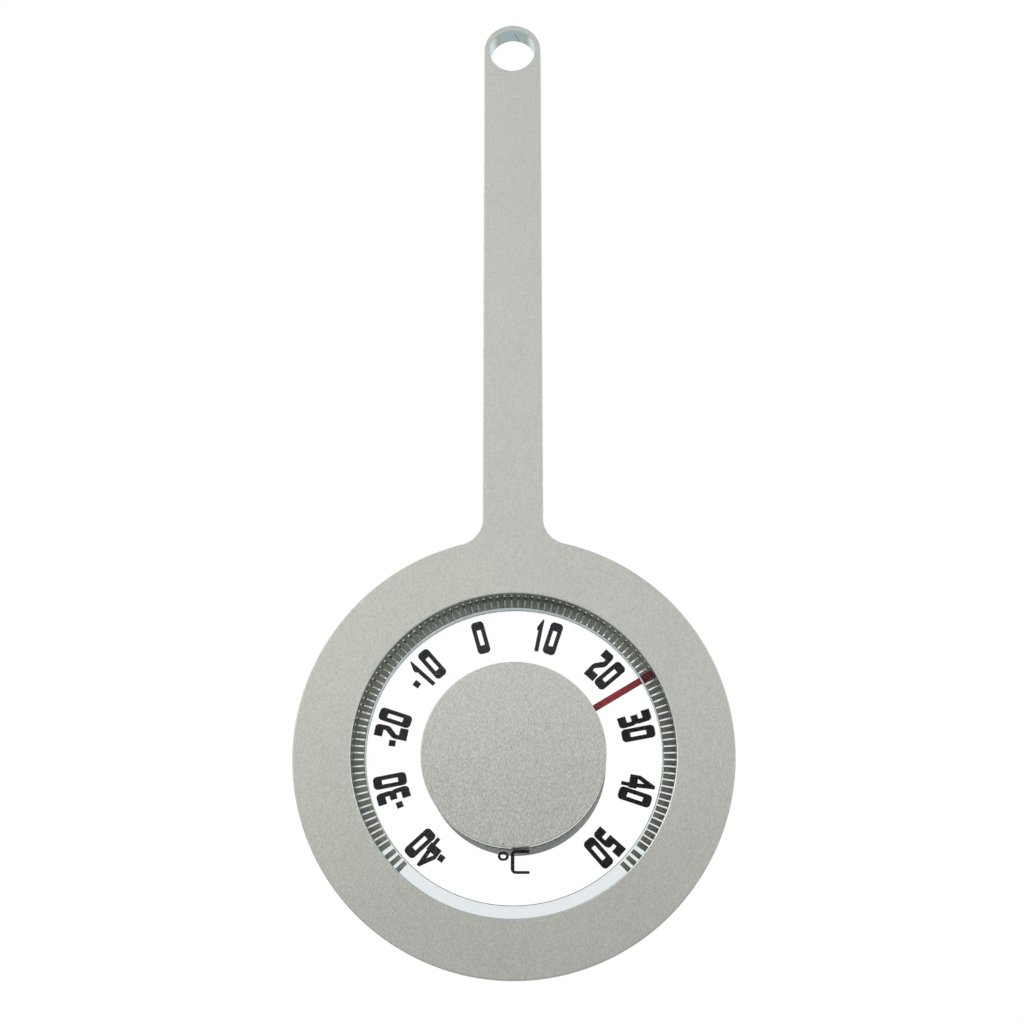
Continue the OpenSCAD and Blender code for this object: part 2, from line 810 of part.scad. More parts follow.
module cover_screws() {
    color([0.55, 0.56, 0.57]) at_dial() around(boss_angles, boss_circle_r) difference() {
        union() {
            cone(housing_back - small_head_h, housing_back, small_r, small_head_r);
            disc(cover_face - boss_bite, housing_back, small_r);
        }
        translate([-small_head_d, housing_back - small_head_h / 2, -small_head_h / 4])
            cube([small_head_d * 2, small_head_h, small_head_h / 2]);
        translate([-small_head_h / 4, housing_back - small_head_h / 2, -small_head_d])
            cube([small_head_h / 2, small_head_h, small_head_d * 2]);
    }
}

frame_plate();
front_gasket();
clear_cover();
spacer_ring();
dial_plate();
tick_band();
numerals();
unit_mark();
rear_gasket();
rear_ring();
ring_screws();
front_knob();
knob_pad();
pointer();
pointer_hub();
arbor();
front_bush();
movement_plate();
pillars();
bridge();
bridge_screws();
coil_collet();
bimetal_coil();
anchor_post();
anchor_plate();
friction_washer();
rear_bush();
sleeve_clip();
adjuster_head();
housing_gasket();
rear_housing();
housing_screws();
rear_cover();
cover_screws();
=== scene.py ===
"""Dressed scene of a hanging dial thermometer.

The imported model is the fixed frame. Each sub-assembly class below builds the pieces that need
rounder or smoother surfaces than the frame's own, and dresses the frame's nodes in its finishes.
Lengths inside the classes are millimetres in the dial's own frame: X to the right, depth behind
the front face of the plate, and Z up from the centre of the dial. Meshes are stored in metres in
the row frame, whose origin is the centre of the hanging eye, halfway through the plate.
"""

import logging
from collections.abc import Callable
from dataclasses import dataclass
from enum import Enum, IntEnum
from typing import NamedTuple

import bmesh
import bpy
import numpy as np
from mathutils import Matrix, Vector


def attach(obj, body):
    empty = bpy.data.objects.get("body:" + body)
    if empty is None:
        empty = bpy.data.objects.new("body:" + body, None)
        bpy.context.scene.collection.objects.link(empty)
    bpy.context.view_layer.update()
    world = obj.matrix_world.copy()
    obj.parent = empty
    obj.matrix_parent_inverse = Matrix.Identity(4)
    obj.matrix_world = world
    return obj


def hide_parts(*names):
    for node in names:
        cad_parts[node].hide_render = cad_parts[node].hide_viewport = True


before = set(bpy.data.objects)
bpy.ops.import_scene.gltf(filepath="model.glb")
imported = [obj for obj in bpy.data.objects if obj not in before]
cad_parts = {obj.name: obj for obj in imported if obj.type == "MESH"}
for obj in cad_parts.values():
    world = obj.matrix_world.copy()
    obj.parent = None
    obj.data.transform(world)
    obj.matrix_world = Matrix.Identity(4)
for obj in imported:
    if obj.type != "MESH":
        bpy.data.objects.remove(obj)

LOG = logging.getLogger("thermometer")
MM = 0.001
# Half the plate's thickness and the rise from the dial's centre to the eye's, in millimetres
PLATE_HALF = 3.0
EYE_RISE = 194.7
DIAL_CENTRE = (0.0, 0.0, -EYE_RISE * MM)
# Points closer than this are one point, and shorter edges are dropped, in metres
JOIN_DISTANCE = 2e-7
SHORTEST_EDGE = 1e-8
# How near a face lies to a turned wall, and how far from a flat one, in millimetres
WALL_REACH = 0.02
FLAT_REACH = 0.01

Socket = bpy.types.NodeSocket
Colour = tuple[float, float, float]
Point = tuple[float, float, float]
Grid = tuple[np.ndarray, np.ndarray]
WHITE: Colour = (1.0, 1.0, 1.0)


class Body(Enum):
    """The rigid bodies of the frame that a piece can ride on."""

    CASE = "case"
    POINTER = "pointer_shaft"


class Slot(Enum):
    """The record's material slots that the new pieces take their finish from."""

    PLATE = "satin_plate"
    KNOB = "knob_plate"
    HOUSING = "housing_steel"
    ACRYLIC = "clear_acrylic"
    RUBBER = "gasket_rubber"
    RED = "pointer_red"
    STEEL = "steel"


class Border(IntEnum):
    """What the inner border of the plate follows along a stretch of its outline."""

    WINDOW = 0
    CENTRE_LINE = 1
    EYE = 2


@dataclass(frozen=True)
class Patch:
    """Faces of a piece with a finish of their own, chosen by their radius and depth."""

    chosen: Callable[[np.ndarray, np.ndarray], np.ndarray]
    finish: bpy.types.Material


# Surfaces


def to_row_frame(points: np.ndarray) -> np.ndarray:
    """Moves dial points into the row frame: shift depth and height, then scale to metres.

    Args:
        points: (n, 3) array of [x, depth, z] in millimetres.

    Returns:
        The same points in metres in the row frame.
    """
    return (points - np.array([0.0, PLATE_HALF, EYE_RISE])) * MM


def grid_quads(rows: int, columns: int, wrap_rows: bool = False) -> np.ndarray:
    """Quads of a grid: each joins a point to its neighbours in the next row and column.

    The last column joins the first.

    Args:
        rows: Number of rows of points.
        columns: Number of points in a row.
        wrap_rows: Whether the last row joins the first.

    Returns:
        (quads, 4) array of point numbers, counted row by row.
    """
    i = np.arange(rows if wrap_rows else rows - 1)[:, None]
    j = np.arange(columns)[None, :]
    i2, j2 = (i + 1) % rows, (j + 1) % columns
    corners = (i * columns + j, i * columns + j2, i2 * columns + j2, i2 * columns + j)
    return np.stack(np.broadcast_arrays(*corners), axis=-1).reshape(-1, 4)


def filleted(corners: list[tuple[float, float, float]], steps: int, margin: float,
             closed: bool = False) -> np.ndarray:
    """Rounds the corners of a flat path.

    Each corner is replaced by an arc that touches both of its legs. The arc's points turn evenly
    from one touching point to the other about the arc's centre, which lies on the corner's
    bisector. A point just outside each end of the arc keeps the legs flat when shaded.

    Args:
        corners: Each corner's two coordinates and arc radius. A radius of 0 leaves it as it is.
        steps: Number of chords in each arc.
        margin: Distance of the outside points from the ends of the arc.
        closed: Whether the last corner joins the first.

    Returns:
        (n, 2) array of points along the rounded path.
    """
    tiny, same_point = 1e-12, 1e-6
    rows = np.array(corners, float)
    corners, radii = rows[:, :2], rows[:, 2]
    before = np.roll(corners, 1, axis=0) - corners
    after = np.roll(corners, -1, axis=0) - corners
    before /= np.linalg.norm(before, axis=1, keepdims=True) + tiny
    after /= np.linalg.norm(after, axis=1, keepdims=True) + tiny
    half = np.arccos(np.clip((before * after).sum(1), -1, 1)) / 2
    reach = radii / np.tan(half)
    bisector = before + after
    bisector /= np.linalg.norm(bisector, axis=1, keepdims=True) + tiny
    centre = corners + bisector * (radii / np.sin(half))[:, None]
    start = (corners + before * reach[:, None] - centre)[:, None]
    end = (corners + after * reach[:, None] - centre)[:, None]
    t = (np.pi - 2 * half)[:, None, None]
    u = np.linspace(0, 1, steps + 1)[None, :, None]
    arcs = centre[:, None] + (np.sin((1 - u) * t) * start + np.sin(u * t) * end) / np.sin(t)
    lead = (corners + before * (reach + margin)[:, None])[:, None]
    tail = (corners + after * (reach + margin)[:, None])[:, None]
    path = np.concatenate([lead, arcs, tail], axis=1)
    plain = radii <= 0
    path[plain] = corners[plain][:, None]
    if not closed:
        path[0], path[-1] = corners[0], corners[-1]
    path = path.reshape(-1, 2)
    apart = np.linalg.norm(np.diff(path, axis=0), axis=1) > same_point
    return path[np.concatenate([[True], apart])]


def lathe(profile: np.ndarray, closed: bool = False, segments: int = 320) -> Grid:
    """Turns a profile about the dial's axis: x = r cos(a), z = r sin(a), depth unchanged.

    Args:
        profile: (n, 2) array of [radius, depth].
        closed: Whether the profile is a closed loop.
        segments: Number of steps round the axis.

    Returns:
        Points (n * segments, 3) and quads.
    """
    a = np.linspace(0, 2 * np.pi, segments, endpoint=False)
    r, depth = profile[:, 0][:, None], profile[:, 1][:, None]
    depth = np.broadcast_to(depth, (len(profile), segments))
    points = np.stack([r * np.cos(a), depth, r * np.sin(a)], -1)
    return points.reshape(-1, 3), grid_quads(len(profile), segments, closed)


def sheet_points(flat: np.ndarray, depth: np.ndarray | float) -> np.ndarray:
    """Lifts flat [x, z] points to [x, depth, z].

    Args:
        flat: (..., 2) array of flat points.
        depth: Depth of each point, or one depth for all.

    Returns:
        (n, 3) array of points.
    """
    d = np.broadcast_to(depth, flat.shape[:-1])
    return np.stack([flat[..., 0], d, flat[..., 1]], -1).reshape(-1, 3)


def build_piece(name: str, grids: list[Grid], finish: bpy.types.Material, body: Body, node: str,
                polish: np.ndarray | None = None, patch: Patch | None = None) -> None:
    """Makes one smooth, closed piece from grids that share their borders.

    The grids' points are joined where they meet, collapsed faces are dropped, and the faces are
    turned outwards.

    Args:
        name: Name of the piece.
        grids: Grids as (points, quads), in dial millimetres.
        finish: Material of the piece.
        body: Body that the piece rides on.
        node: Node of the frame that the piece replaces.
        polish: Value from 0 to 1 for every point, stored as the attribute "polish".
        patch: Faces that have another finish.
    """
    counts = np.cumsum([0] + [len(points) for points, _ in grids])
    points = to_row_frame(np.concatenate([points for points, _ in grids]))
    quads = np.concatenate([quads + count for (_, quads), count in zip(grids, counts)])
    mesh = bpy.data.meshes.new(name)
    mesh.from_pydata(points, [], quads)
    if polish is not None:
        values = mesh.attributes.new("polish", "FLOAT", "POINT").data
        values.foreach_set("value", polish.astype(np.float32))
    shell = bmesh.new()
    shell.from_mesh(mesh)
    bmesh.ops.remove_doubles(shell, verts=shell.verts, dist=JOIN_DISTANCE)
    bmesh.ops.dissolve_degenerate(shell, edges=shell.edges, dist=SHORTEST_EDGE)
    bmesh.ops.recalc_face_normals(shell, faces=shell.faces)
    shell.to_mesh(mesh)
    shell.free()
    mesh.shade_smooth()
    mesh.materials.append(finish)
    if patch is not None:
        centres = np.empty(len(mesh.polygons) * 3)
        mesh.polygons.foreach_get("center", centres)
        centres = centres.reshape(-1, 3) / MM + np.array([0.0, PLATE_HALF, EYE_RISE])
        chosen = patch.chosen(np.hypot(centres[:, 0], centres[:, 2]), centres[:, 1])
        mesh.materials.append(patch.finish)
        mesh.polygons.foreach_set("material_index", chosen.astype(np.int32))
    piece = bpy.data.objects.new(name, mesh)
    bpy.context.scene.collection.objects.link(piece)
    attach(piece, body.value)
    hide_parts(node)
    LOG.info("%s: %d points, stands for %s", name, len(mesh.vertices), node)


def dress(material: bpy.types.Material, *nodes: str) -> None:
    """Gives nodes of the frame a finish.

    Args:
        material: The finish.
        *nodes: Names of the nodes.
    """
    for name in nodes:
        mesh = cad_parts[name].data
        mesh.materials.clear()
        mesh.materials.append(material)
        LOG.info("%s dressed in %s", name, material.name)


# Node helpers


class Noise(NamedTuple):
    """A noise texture: cycles per metre, finer octaves, their weight, and a factor for each axis."""

    scale: float
    detail: float
    rough: float
    axes: Point = (1.0, 1.0, 1.0)


class Tree:
    """A node tree with short calls for the nodes that the finishes use."""

    LEFT = -1800
    STEP = 180

    def __init__(self, tree: bpy.types.NodeTree) -> None:
        """Takes over an empty tree.

        Args:
            tree: Node tree of a material, a group or the world.
        """
        self.tree = tree
        self.x = self.LEFT

    def node(self, kind: str, **values: object) -> bpy.types.Node:
        """Adds a node and sets its properties.

        Args:
            kind: Blender's type name of the node.
            **values: Properties to set on it.

        Returns:
            The node.
        """
        node = self.tree.nodes.new(kind)
        node.location = (self.x, 0)
        self.x += self.STEP
        for key, value in values.items():
            setattr(node, key, value)
        return node

    def put(self, socket: Socket, value: object) -> None:
        """Links a socket, or sets a plain value, on an input."""
        if isinstance(value, bpy.types.NodeSocket):
            self.tree.links.new(value, socket)
        else:
            socket.default_value = value

    def math(self, operation: str, a: object, b: object, clamp: bool = False) -> Socket:
        """Adds a Math node.

        Args:
            operation: Name of the operation.
            a: First value or socket.
            b: Second value or socket.
            clamp: Whether the result is kept between 0 and 1.

        Returns:
            The result.
        """
        node = self.node("ShaderNodeMath", operation=operation, use_clamp=clamp)
        self.put(node.inputs[0], a)
        self.put(node.inputs[1], b)
        return node.outputs[0]

    def vector(self, operation: str, a: object, b: object, result: str = "Vector") -> Socket:
        """Adds a Vector Math node.

        Args:
            operation: Name of the operation.
            a: First vector or socket.
            b: Second vector or socket.
            result: "Vector", or "Value" for a distance or a dot product.

        Returns:
            The result.
        """
        node = self.node("ShaderNodeVectorMath", operation=operation)
        self.put(node.inputs[0], a)
        self.put(node.inputs[1], b)
        return node.outputs[result]

    def distance(self, a: object, b: object) -> Socket:
        """Returns the distance between two points."""
        return self.vector("DISTANCE", a, b, "Value")

    def brighten(self, colour: object, factor: Socket) -> Socket:
        """Multiplies a colour or a vector by a value."""
        node = self.node("ShaderNodeVectorMath", operation="SCALE")
        self.put(node.inputs[0], colour)
        self.put(node.inputs["Scale"], factor)
        return node.outputs[0]

    def place(self) -> Socket:
        """Returns the Object coordinates, which are metres in the row frame."""
        return self.node("ShaderNodeTexCoord").outputs["Object"]

    def part(self, vector: Socket, axis: str) -> Socket:
        """Returns the X, Y or Z of a vector."""
        split = self.node("ShaderNodeSeparateXYZ")
        self.put(split.inputs[0], vector)
        return split.outputs[axis]

    def radius(self) -> Socket:
        """Returns the distance from the dial's axis, in metres."""
        return self.distance(self.vector("MULTIPLY", self.place(), (1.0, 0.0, 1.0)), DIAL_CENTRE)

    def from_line(self, place: Socket, start: Point, end: Point) -> Socket:
        """Measures the distance from a straight scratch.

        The nearest point lies a share s of the way from start to end. The share is the dot product
        of the way to the place and the line, over the line's length squared, kept from 0 to 1.

        Args:
            place: The place.
            start: Start of the scratch.
            end: End of the scratch.

        Returns:
            The distance.
        """
        line = np.subtract(end, start)
        way = self.vector("SUBTRACT", place, start)
        along = self.vector("DOT_PRODUCT", way, tuple(line / (line @ line)), "Value")
        share = self.math("ADD", along, 0.0, clamp=True)
        nearest = self.vector("ADD", self.brighten(tuple(line), share), start)
        return self.distance(place, nearest)

    def noise(self, place: Socket, kind: Noise) -> Socket:
        """Adds a Noise Texture.

        Args:
            place: Where to read it.
            kind: The texture.

        Returns:
            Its value, about 0.5 in the mean.
        """
        if len(set(kind.axes)) > 1:
            place = self.vector("MULTIPLY", place, kind.axes)
        node = self.node("ShaderNodeTexNoise")
        for key, value in zip(("Vector", "Scale", "Detail", "Roughness"), (place, *kind)):
            self.put(node.inputs[key], value)
        return node.outputs["Fac"]

    def vary(self, *parts: tuple[Socket, Socket]) -> Socket:
        """Makes a factor near 1: 1 plus the sum of each noise, less its mean, times its weight.

        Args:
            *parts: Pairs of a noise and its weight.

        Returns:
            The factor.
        """
        factor = 1.0
        for noise, weight in parts:
            swing = self.math("SUBTRACT", noise, 0.5)
            factor = self.math("ADD", factor, self.math("MULTIPLY", swing, weight))
        return factor

    def ramp(self, value: object, low: object, high: object, to_low: object = 0.0,
             to_high: object = 1.0) -> Socket:
        """Adds a clamped, smooth Map Range.

        Args:
            value: Value to map.
            low: Where the result is to_low.
            high: Where the result is to_high.
            to_low: Result at low.
            to_high: Result at high.

        Returns:
            The mapped value.
        """
        node = self.node("ShaderNodeMapRange", interpolation_type="SMOOTHSTEP")
        for index, x in enumerate((value, low, high, to_low, to_high)):
            self.put(node.inputs[index], x)
        return node.outputs[0]

    def mix(self, share: object, a: object, b: object) -> Socket:
        """Adds a colour Mix node.

        Args:
            share: Share of b.
            a: First colour.
            b: Second colour.

        Returns:
            The mixed colour.
        """
        node = self.node("ShaderNodeMix", data_type="RGBA")
        self.put(node.inputs["Factor"], share)
        self.put(node.inputs[6], a)
        self.put(node.inputs[7], b)
        return node.outputs[2]


class OpenGroup(NamedTuple):
    """A new node group's tree, with its inputs and its outputs by name."""

    tree: Tree
    inputs: dict[str, Socket]
    outputs: dict[str, Socket]


class GroupBook:
    """Builds each shared effect once, for the materials to place."""

    SPECKLE = Noise(4200.0, 1.0, 0.5, (1.0, 1.0, 0.5))
    STREAKS = Noise(1500.0, 2.0, 0.6, (1.0, 1.0, 0.035))
    CLOUDS = Noise(55.0, 3.0, 0.5)
    STREAK_HEIGHT = 0.4
    RINGS = Noise(2400.0, 3.0, 0.6)
    TURNED_CLOUDS = Noise(90.0, 4.0, 0.6)
    BROAD_FILM = Noise(60.0, 3.0, 0.6)
    FINE_FILM = Noise(1400.0, 2.0, 0.6)
    BROAD_SHARE = 0.7
    FILM_EDGES = (0.35, 0.65)

    def __init__(self) -> None:
        """Starts with no group built."""
        self.built: dict[str, bpy.types.NodeTree] = {}

    def open(self, name: str, inputs: dict[str, float], outputs: tuple[str, ...]) -> OpenGroup:
        """Makes an empty group with its named sockets, all of them numbers.

        Args:
            name: Name of the group.
            inputs: Inputs with their default values.
            outputs: Outputs.

        Returns:
            The group.
        """
        tree = bpy.data.node_groups.new(name, "ShaderNodeTree")
        for key, value in inputs.items():
            made = tree.interface.new_socket(key, in_out="INPUT", socket_type="NodeSocketFloat")
            made.default_value = value
        for key in outputs:
            tree.interface.new_socket(key, in_out="OUTPUT", socket_type="NodeSocketFloat")
        self.built[name] = tree
        t = Tree(tree)
        source, sink = t.node("NodeGroupInput"), t.node("NodeGroupOutput")
        sink.location = (1600, 0)
        return OpenGroup(t, {s.name: s for s in source.outputs if s.name},
                         {s.name: s for s in sink.inputs if s.name})

    def grain(self) -> bpy.types.NodeTree:
        """Blasted grain: fine speckle, faint upright streaks and slow clouds.

        Returns:
            The group, with Shade (a factor near 1) and Height.
        """
        name = "blasted grain"
        if name not in self.built:
            inputs = {"Grain": 0.1, "Streak": 0.05, "Cloud": 0.05}
            t, ins, outs = self.open(name, inputs, ("Shade", "Height"))
            place = t.place()
            fine, streak = t.noise(place, self.SPECKLE), t.noise(place, self.STREAKS)
            cloud = t.noise(place, self.CLOUDS)
            shade = t.vary((fine, ins["Grain"]), (streak, ins["Streak"]), (cloud, ins["Cloud"]))
            t.put(outs["Shade"], shade)
            t.put(outs["Height"], t.math("ADD", fine, t.math("MULTIPLY", streak, self.STREAK_HEIGHT)))
        return self.built[name]

    def turned(self) -> bpy.types.NodeTree:
        """Turning marks: rings of noise round the dial's axis, with slow clouds.

        Returns:
            The group, with Shade (a factor near 1) and Height.
        """
        name = "turning marks"
        if name not in self.built:
            t, ins, outs = self.open(name, {"Marks": 0.1, "Cloud": 0.1}, ("Shade", "Height"))
            place = t.place()
            join = t.node("ShaderNodeCombineXYZ")
            t.put(join.inputs[0], t.radius())
            t.put(join.inputs[1], t.part(place, "Y"))
            marks, cloud = t.noise(join.outputs[0], self.RINGS), t.noise(place, self.TURNED_CLOUDS)
            t.put(outs["Shade"], t.vary((marks, ins["Marks"]), (cloud, ins["Cloud"])))
            t.put(outs["Height"], marks)
        return self.built[name]

    def film(self) -> bpy.types.NodeTree:
        """A thin, uneven film of dust and handling: a broad and a fine noise.

        Returns:
            The group, with Mask from 0 to 1.
        """
        name = "handling film"
        if name not in self.built:
            t, ins, outs = self.open(name, {"Scale": 1.0}, ("Mask",))
            place = t.brighten(t.place(), ins["Scale"])
            broad = t.math("MULTIPLY", t.noise(place, self.BROAD_FILM), self.BROAD_SHARE)
            fine = t.math("MULTIPLY", t.noise(place, self.FINE_FILM), 1 - self.BROAD_SHARE)
            t.put(outs["Mask"], t.ramp(t.math("ADD", broad, fine), *self.FILM_EDGES))
        return self.built[name]


GROUPS = GroupBook()


def srgb(red: float, green: float, blue: float) -> Colour:
    """Turns 0 to 255 display values into linear colour, by the display standard's curve.

    Args:
        red: Display value of red.
        green: Display value of green.
        blue: Display value of blue.

    Returns:
        The linear colour.
    """
    v = np.array([red, green, blue]) / 255
    return tuple(float(x) for x in np.where(v <= 0.04045, v / 12.92, ((v + 0.055) / 1.055) ** 2.4))


def new_material(name: str) -> tuple[bpy.types.Material, Tree, bpy.types.Node, bpy.types.Node]:
    """Makes a material with a Principled shader.

    Args:
        name: Name of the material.

    Returns:
        The material, its tree, the Principled shader and the output.
    """
    material = bpy.data.materials.new(name)
    material.use_nodes = True
    tree = material.node_tree
    tree.nodes.clear()
    t = Tree(tree)
    shader = t.node("ShaderNodeBsdfPrincipled")
    output = t.node("ShaderNodeOutputMaterial")
    shader.location, output.location = (1500, 0), (1800, 0)
    tree.links.new(shader.outputs[0], output.inputs[0])
    return material, t, shader, output


def place_group(t: Tree, group: bpy.types.NodeTree, **values: float) -> bpy.types.Node:
    """Places a shared effect in a material with its own values.

    Args:
        t: Tree of the material.
        group: The effect.
        **values: Values of its inputs, by name.

    Returns:
        The group node.
    """
    node = t.node("ShaderNodeGroup")
    node.node_tree = group
    for key, value in values.items():
        node.inputs[key].default_value = value
    return node


def bump(t: Tree, shader: bpy.types.Node, height: Socket, depth: float) -> None:
    """Feeds a height into the shader's normal.

    Args:
        t: Tree of the material.
        shader: The Principled shader.
        height: Height from 0 to 1.
        depth: What a height of 1 stands for, in metres.
    """
    node = t.node("ShaderNodeBump")
    node.inputs["Distance"].default_value = depth
    node.inputs["Strength"].default_value = 1.0
    t.put(node.inputs["Height"], height)
    t.put(shader.inputs["Normal"], node.outputs[0])


@dataclass(frozen=True)
class SatinSteel:
    """Blasted steel face with brighter, smoother edges, small stains and a scratch.

    The heights are the Z of the dial's frame between which the face's painted shade, darker towards the
    bottom, lifts, and the grain calms.
    """

    name: str
    face: Colour
    edge: Colour
    roughness: float = 0.5
    edge_roughness: float = 0.16
    grain: float = 0.58
    streak: float = 0.05
    cloud: float = 0.07
    grain_depth: float = 0.00002
    edge_grain: float = 0.2
    painted_shade_heights: tuple[float, float] = (-60.0, 25.0)
    painted_low_shade: float = 0.87
    grain_heights: tuple[float, float] = (-55.0, 200.0)
    high_grain: float = 0.6
    stains: tuple[tuple[float, float, float, float], ...] = ()
    scratch: tuple[Point, ...] = ()
    scratch_width: tuple[float, float] = (0.12, 0.05)
    stain_core: float = 0.35
    mark_colour: Colour = srgb(96, 74, 52)
    mark_roughness: float = 0.3
    mark_cover: float = 0.9

    def build(self) -> bpy.types.Material:
        """Builds the material. The attribute "polish" is 1 where the metal is smooth."""
        material, t, shader, _ = new_material(self.name)
        grain = place_group(t, GROUPS.grain(), Grain=self.grain, Streak=self.streak, Cloud=self.cloud)
        polish = t.node("ShaderNodeAttribute", attribute_name="polish").outputs["Fac"]
        dull = t.math("SUBTRACT", 1.0, polish)
        rise = t.part(t.place(), "Z")
        # Painted shade: the face is darker towards the bottom of the piece.
        painted_bottom_shade = t.ramp(rise, *self.levels(self.painted_shade_heights), self.painted_low_shade, 1.0)
        calm = t.ramp(rise, *self.levels(self.grain_heights), 1.0, self.high_grain)
        blasted = t.math("ADD", t.math("MULTIPLY", dull, 1 - self.edge_grain), self.edge_grain)
        amount = t.math("MULTIPLY", blasted, calm)
        swing = t.math("SUBTRACT", grain.outputs["Shade"], 1.0)
        shade = t.math("MULTIPLY", t.math("ADD", t.math("MULTIPLY", swing, amount), 1.0), painted_bottom_shade)
        colour = t.brighten(t.mix(polish, (*self.face, 1), (*self.edge, 1)), shade)
        mark = self.marks(t)
        t.put(shader.inputs["Base Color"], t.mix(mark, colour, (*self.mark_colour, 1)))
        rough = t.math("ADD", t.math("MULTIPLY", dull, self.roughness),
                       t.math("MULTIPLY", polish, self.edge_roughness))
        rough = t.math("ADD", rough, t.math("MULTIPLY", mark, self.mark_roughness), clamp=True)
        t.put(shader.inputs["Roughness"], rough)
        metal = t.math("SUBTRACT", 1.0, t.math("MULTIPLY", mark, self.mark_cover))
        t.put(shader.inputs["Metallic"], metal)
        bump(t, shader, t.math("MULTIPLY", grain.outputs["Height"], dull), self.grain_depth)
        return material

    def levels(self, heights: tuple[float, float]) -> tuple[float, ...]:
        """Turns heights above the dial's centre into metres of the row frame."""
        return tuple((z - EYE_RISE) * MM for z in heights)

    def marks(self, t: Tree) -> Socket:
        """Makes a mask of the stains and the scratch.

        A stain is a round spot that fades out to its size, and the scratch a thin line.

        Args:
            t: Tree of the material.

        Returns:
            The mask, 1 on a mark.
        """
        mark = 0.0
        for x, depth, z, size in self.stains:
            spot = tuple(float(v) for v in to_row_frame(np.array([[x, depth, z]]))[0])
            near = t.ramp(t.distance(t.place(), spot), size * MM, size * self.stain_core * MM)
            mark = t.math("MAXIMUM", mark, near)
        if self.scratch:
            ends = [tuple(float(v) for v in end) for end in to_row_frame(np.array(self.scratch))]
            line = t.ramp(t.from_line(t.place(), *ends), *(w * MM for w in self.scratch_width))
            mark = t.math("MAXIMUM", mark, line)
        return mark


@dataclass(frozen=True)
class TurnedMetal:
    """Metal with turning marks round the dial's axis.

    Its colour is multiplied by a factor above the second of the top_heights: painted light where the
    factor is above 1, painted shade where it is below.
    """

    name: str
    colour: Colour
    roughness: float = 0.35
    marks: float = 0.25
    cloud: float = 0.25
    mark_depth: float = 0.000012
    film_roughness: float = 0.12
    painted_top_shading: float = 1.0
    top_heights: tuple[float, float] = (5.0, 32.0)

    def build(self) -> bpy.types.Material:
        """Builds the material."""
        material, t, shader, _ = new_material(self.name)
        turned = place_group(t, GROUPS.turned(), Marks=self.marks, Cloud=self.cloud)
        film = place_group(t, GROUPS.film(), Scale=1.0).outputs["Mask"]
        shade = turned.outputs["Shade"]
        # Painted light or painted shade at the top, by height.
        if self.painted_top_shading != 1:
            levels = ((z - EYE_RISE) * MM for z in self.top_heights)
            shade = t.math("MULTIPLY", shade, t.ramp(t.part(t.place(), "Z"), *levels, 1.0, self.painted_top_shading))
        rough = t.ramp(film, 0.0, 1.0, self.roughness, self.roughness + self.film_roughness)
        t.put(shader.inputs["Base Color"], t.brighten(self.colour, shade))
        t.put(shader.inputs["Roughness"], rough)
        shader.inputs["Metallic"].default_value = 1.0
        bump(t, shader, turned.outputs["Height"], self.mark_depth)
        return material


@dataclass(frozen=True)
class Lacquer:
    """Paint, ink, rubber or foam: an even colour with a fine mottle and a handling film.

    Painted light makes print lighter towards the left and the top of the dial.
    """

    name: str
    colour: Colour
    roughness: float = 0.5
    mottle: float = 0.15
    depth: float = 0.00001
    specular: float = 0.5
    film_roughness: float = 0.1
    painted_light_left: float = 0.0
    painted_light_top: float = 0.0
    painted_light_radius: float = 40.0

    def build(self) -> bpy.types.Material:
        """Builds the material."""
        material, t, shader, _ = new_material(self.name)
        grain = place_group(t, GROUPS.grain(), Grain=self.mottle, Streak=0.0, Cloud=self.mottle)
        film = place_group(t, GROUPS.film(), Scale=2.0).outputs["Mask"]
        shade = grain.outputs["Shade"]
        # Painted light: the colour is brightened towards the left and the top of the dial.
        if self.painted_light_left or self.painted_light_top:
            reach, place = self.painted_light_radius * MM, t.place()
            left = t.ramp(t.part(place, "X"), reach, -reach, 1.0, 1.0 + self.painted_light_left)
            centre = DIAL_CENTRE[2]
            top = t.ramp(t.part(place, "Z"), centre, centre + reach, 0.0, self.painted_light_top)
            shade = t.math("MULTIPLY", shade, t.math("ADD", left, top))
        rough = t.ramp(film, 0.0, 1.0, self.roughness, min(1.0, self.roughness + self.film_roughness))
        t.put(shader.inputs["Base Color"], t.brighten(self.colour, shade))
        t.put(shader.inputs["Roughness"], rough)
        shader.inputs["Specular IOR Level"].default_value = self.specular
        bump(t, shader, grain.outputs["Height"], self.depth)
        return material


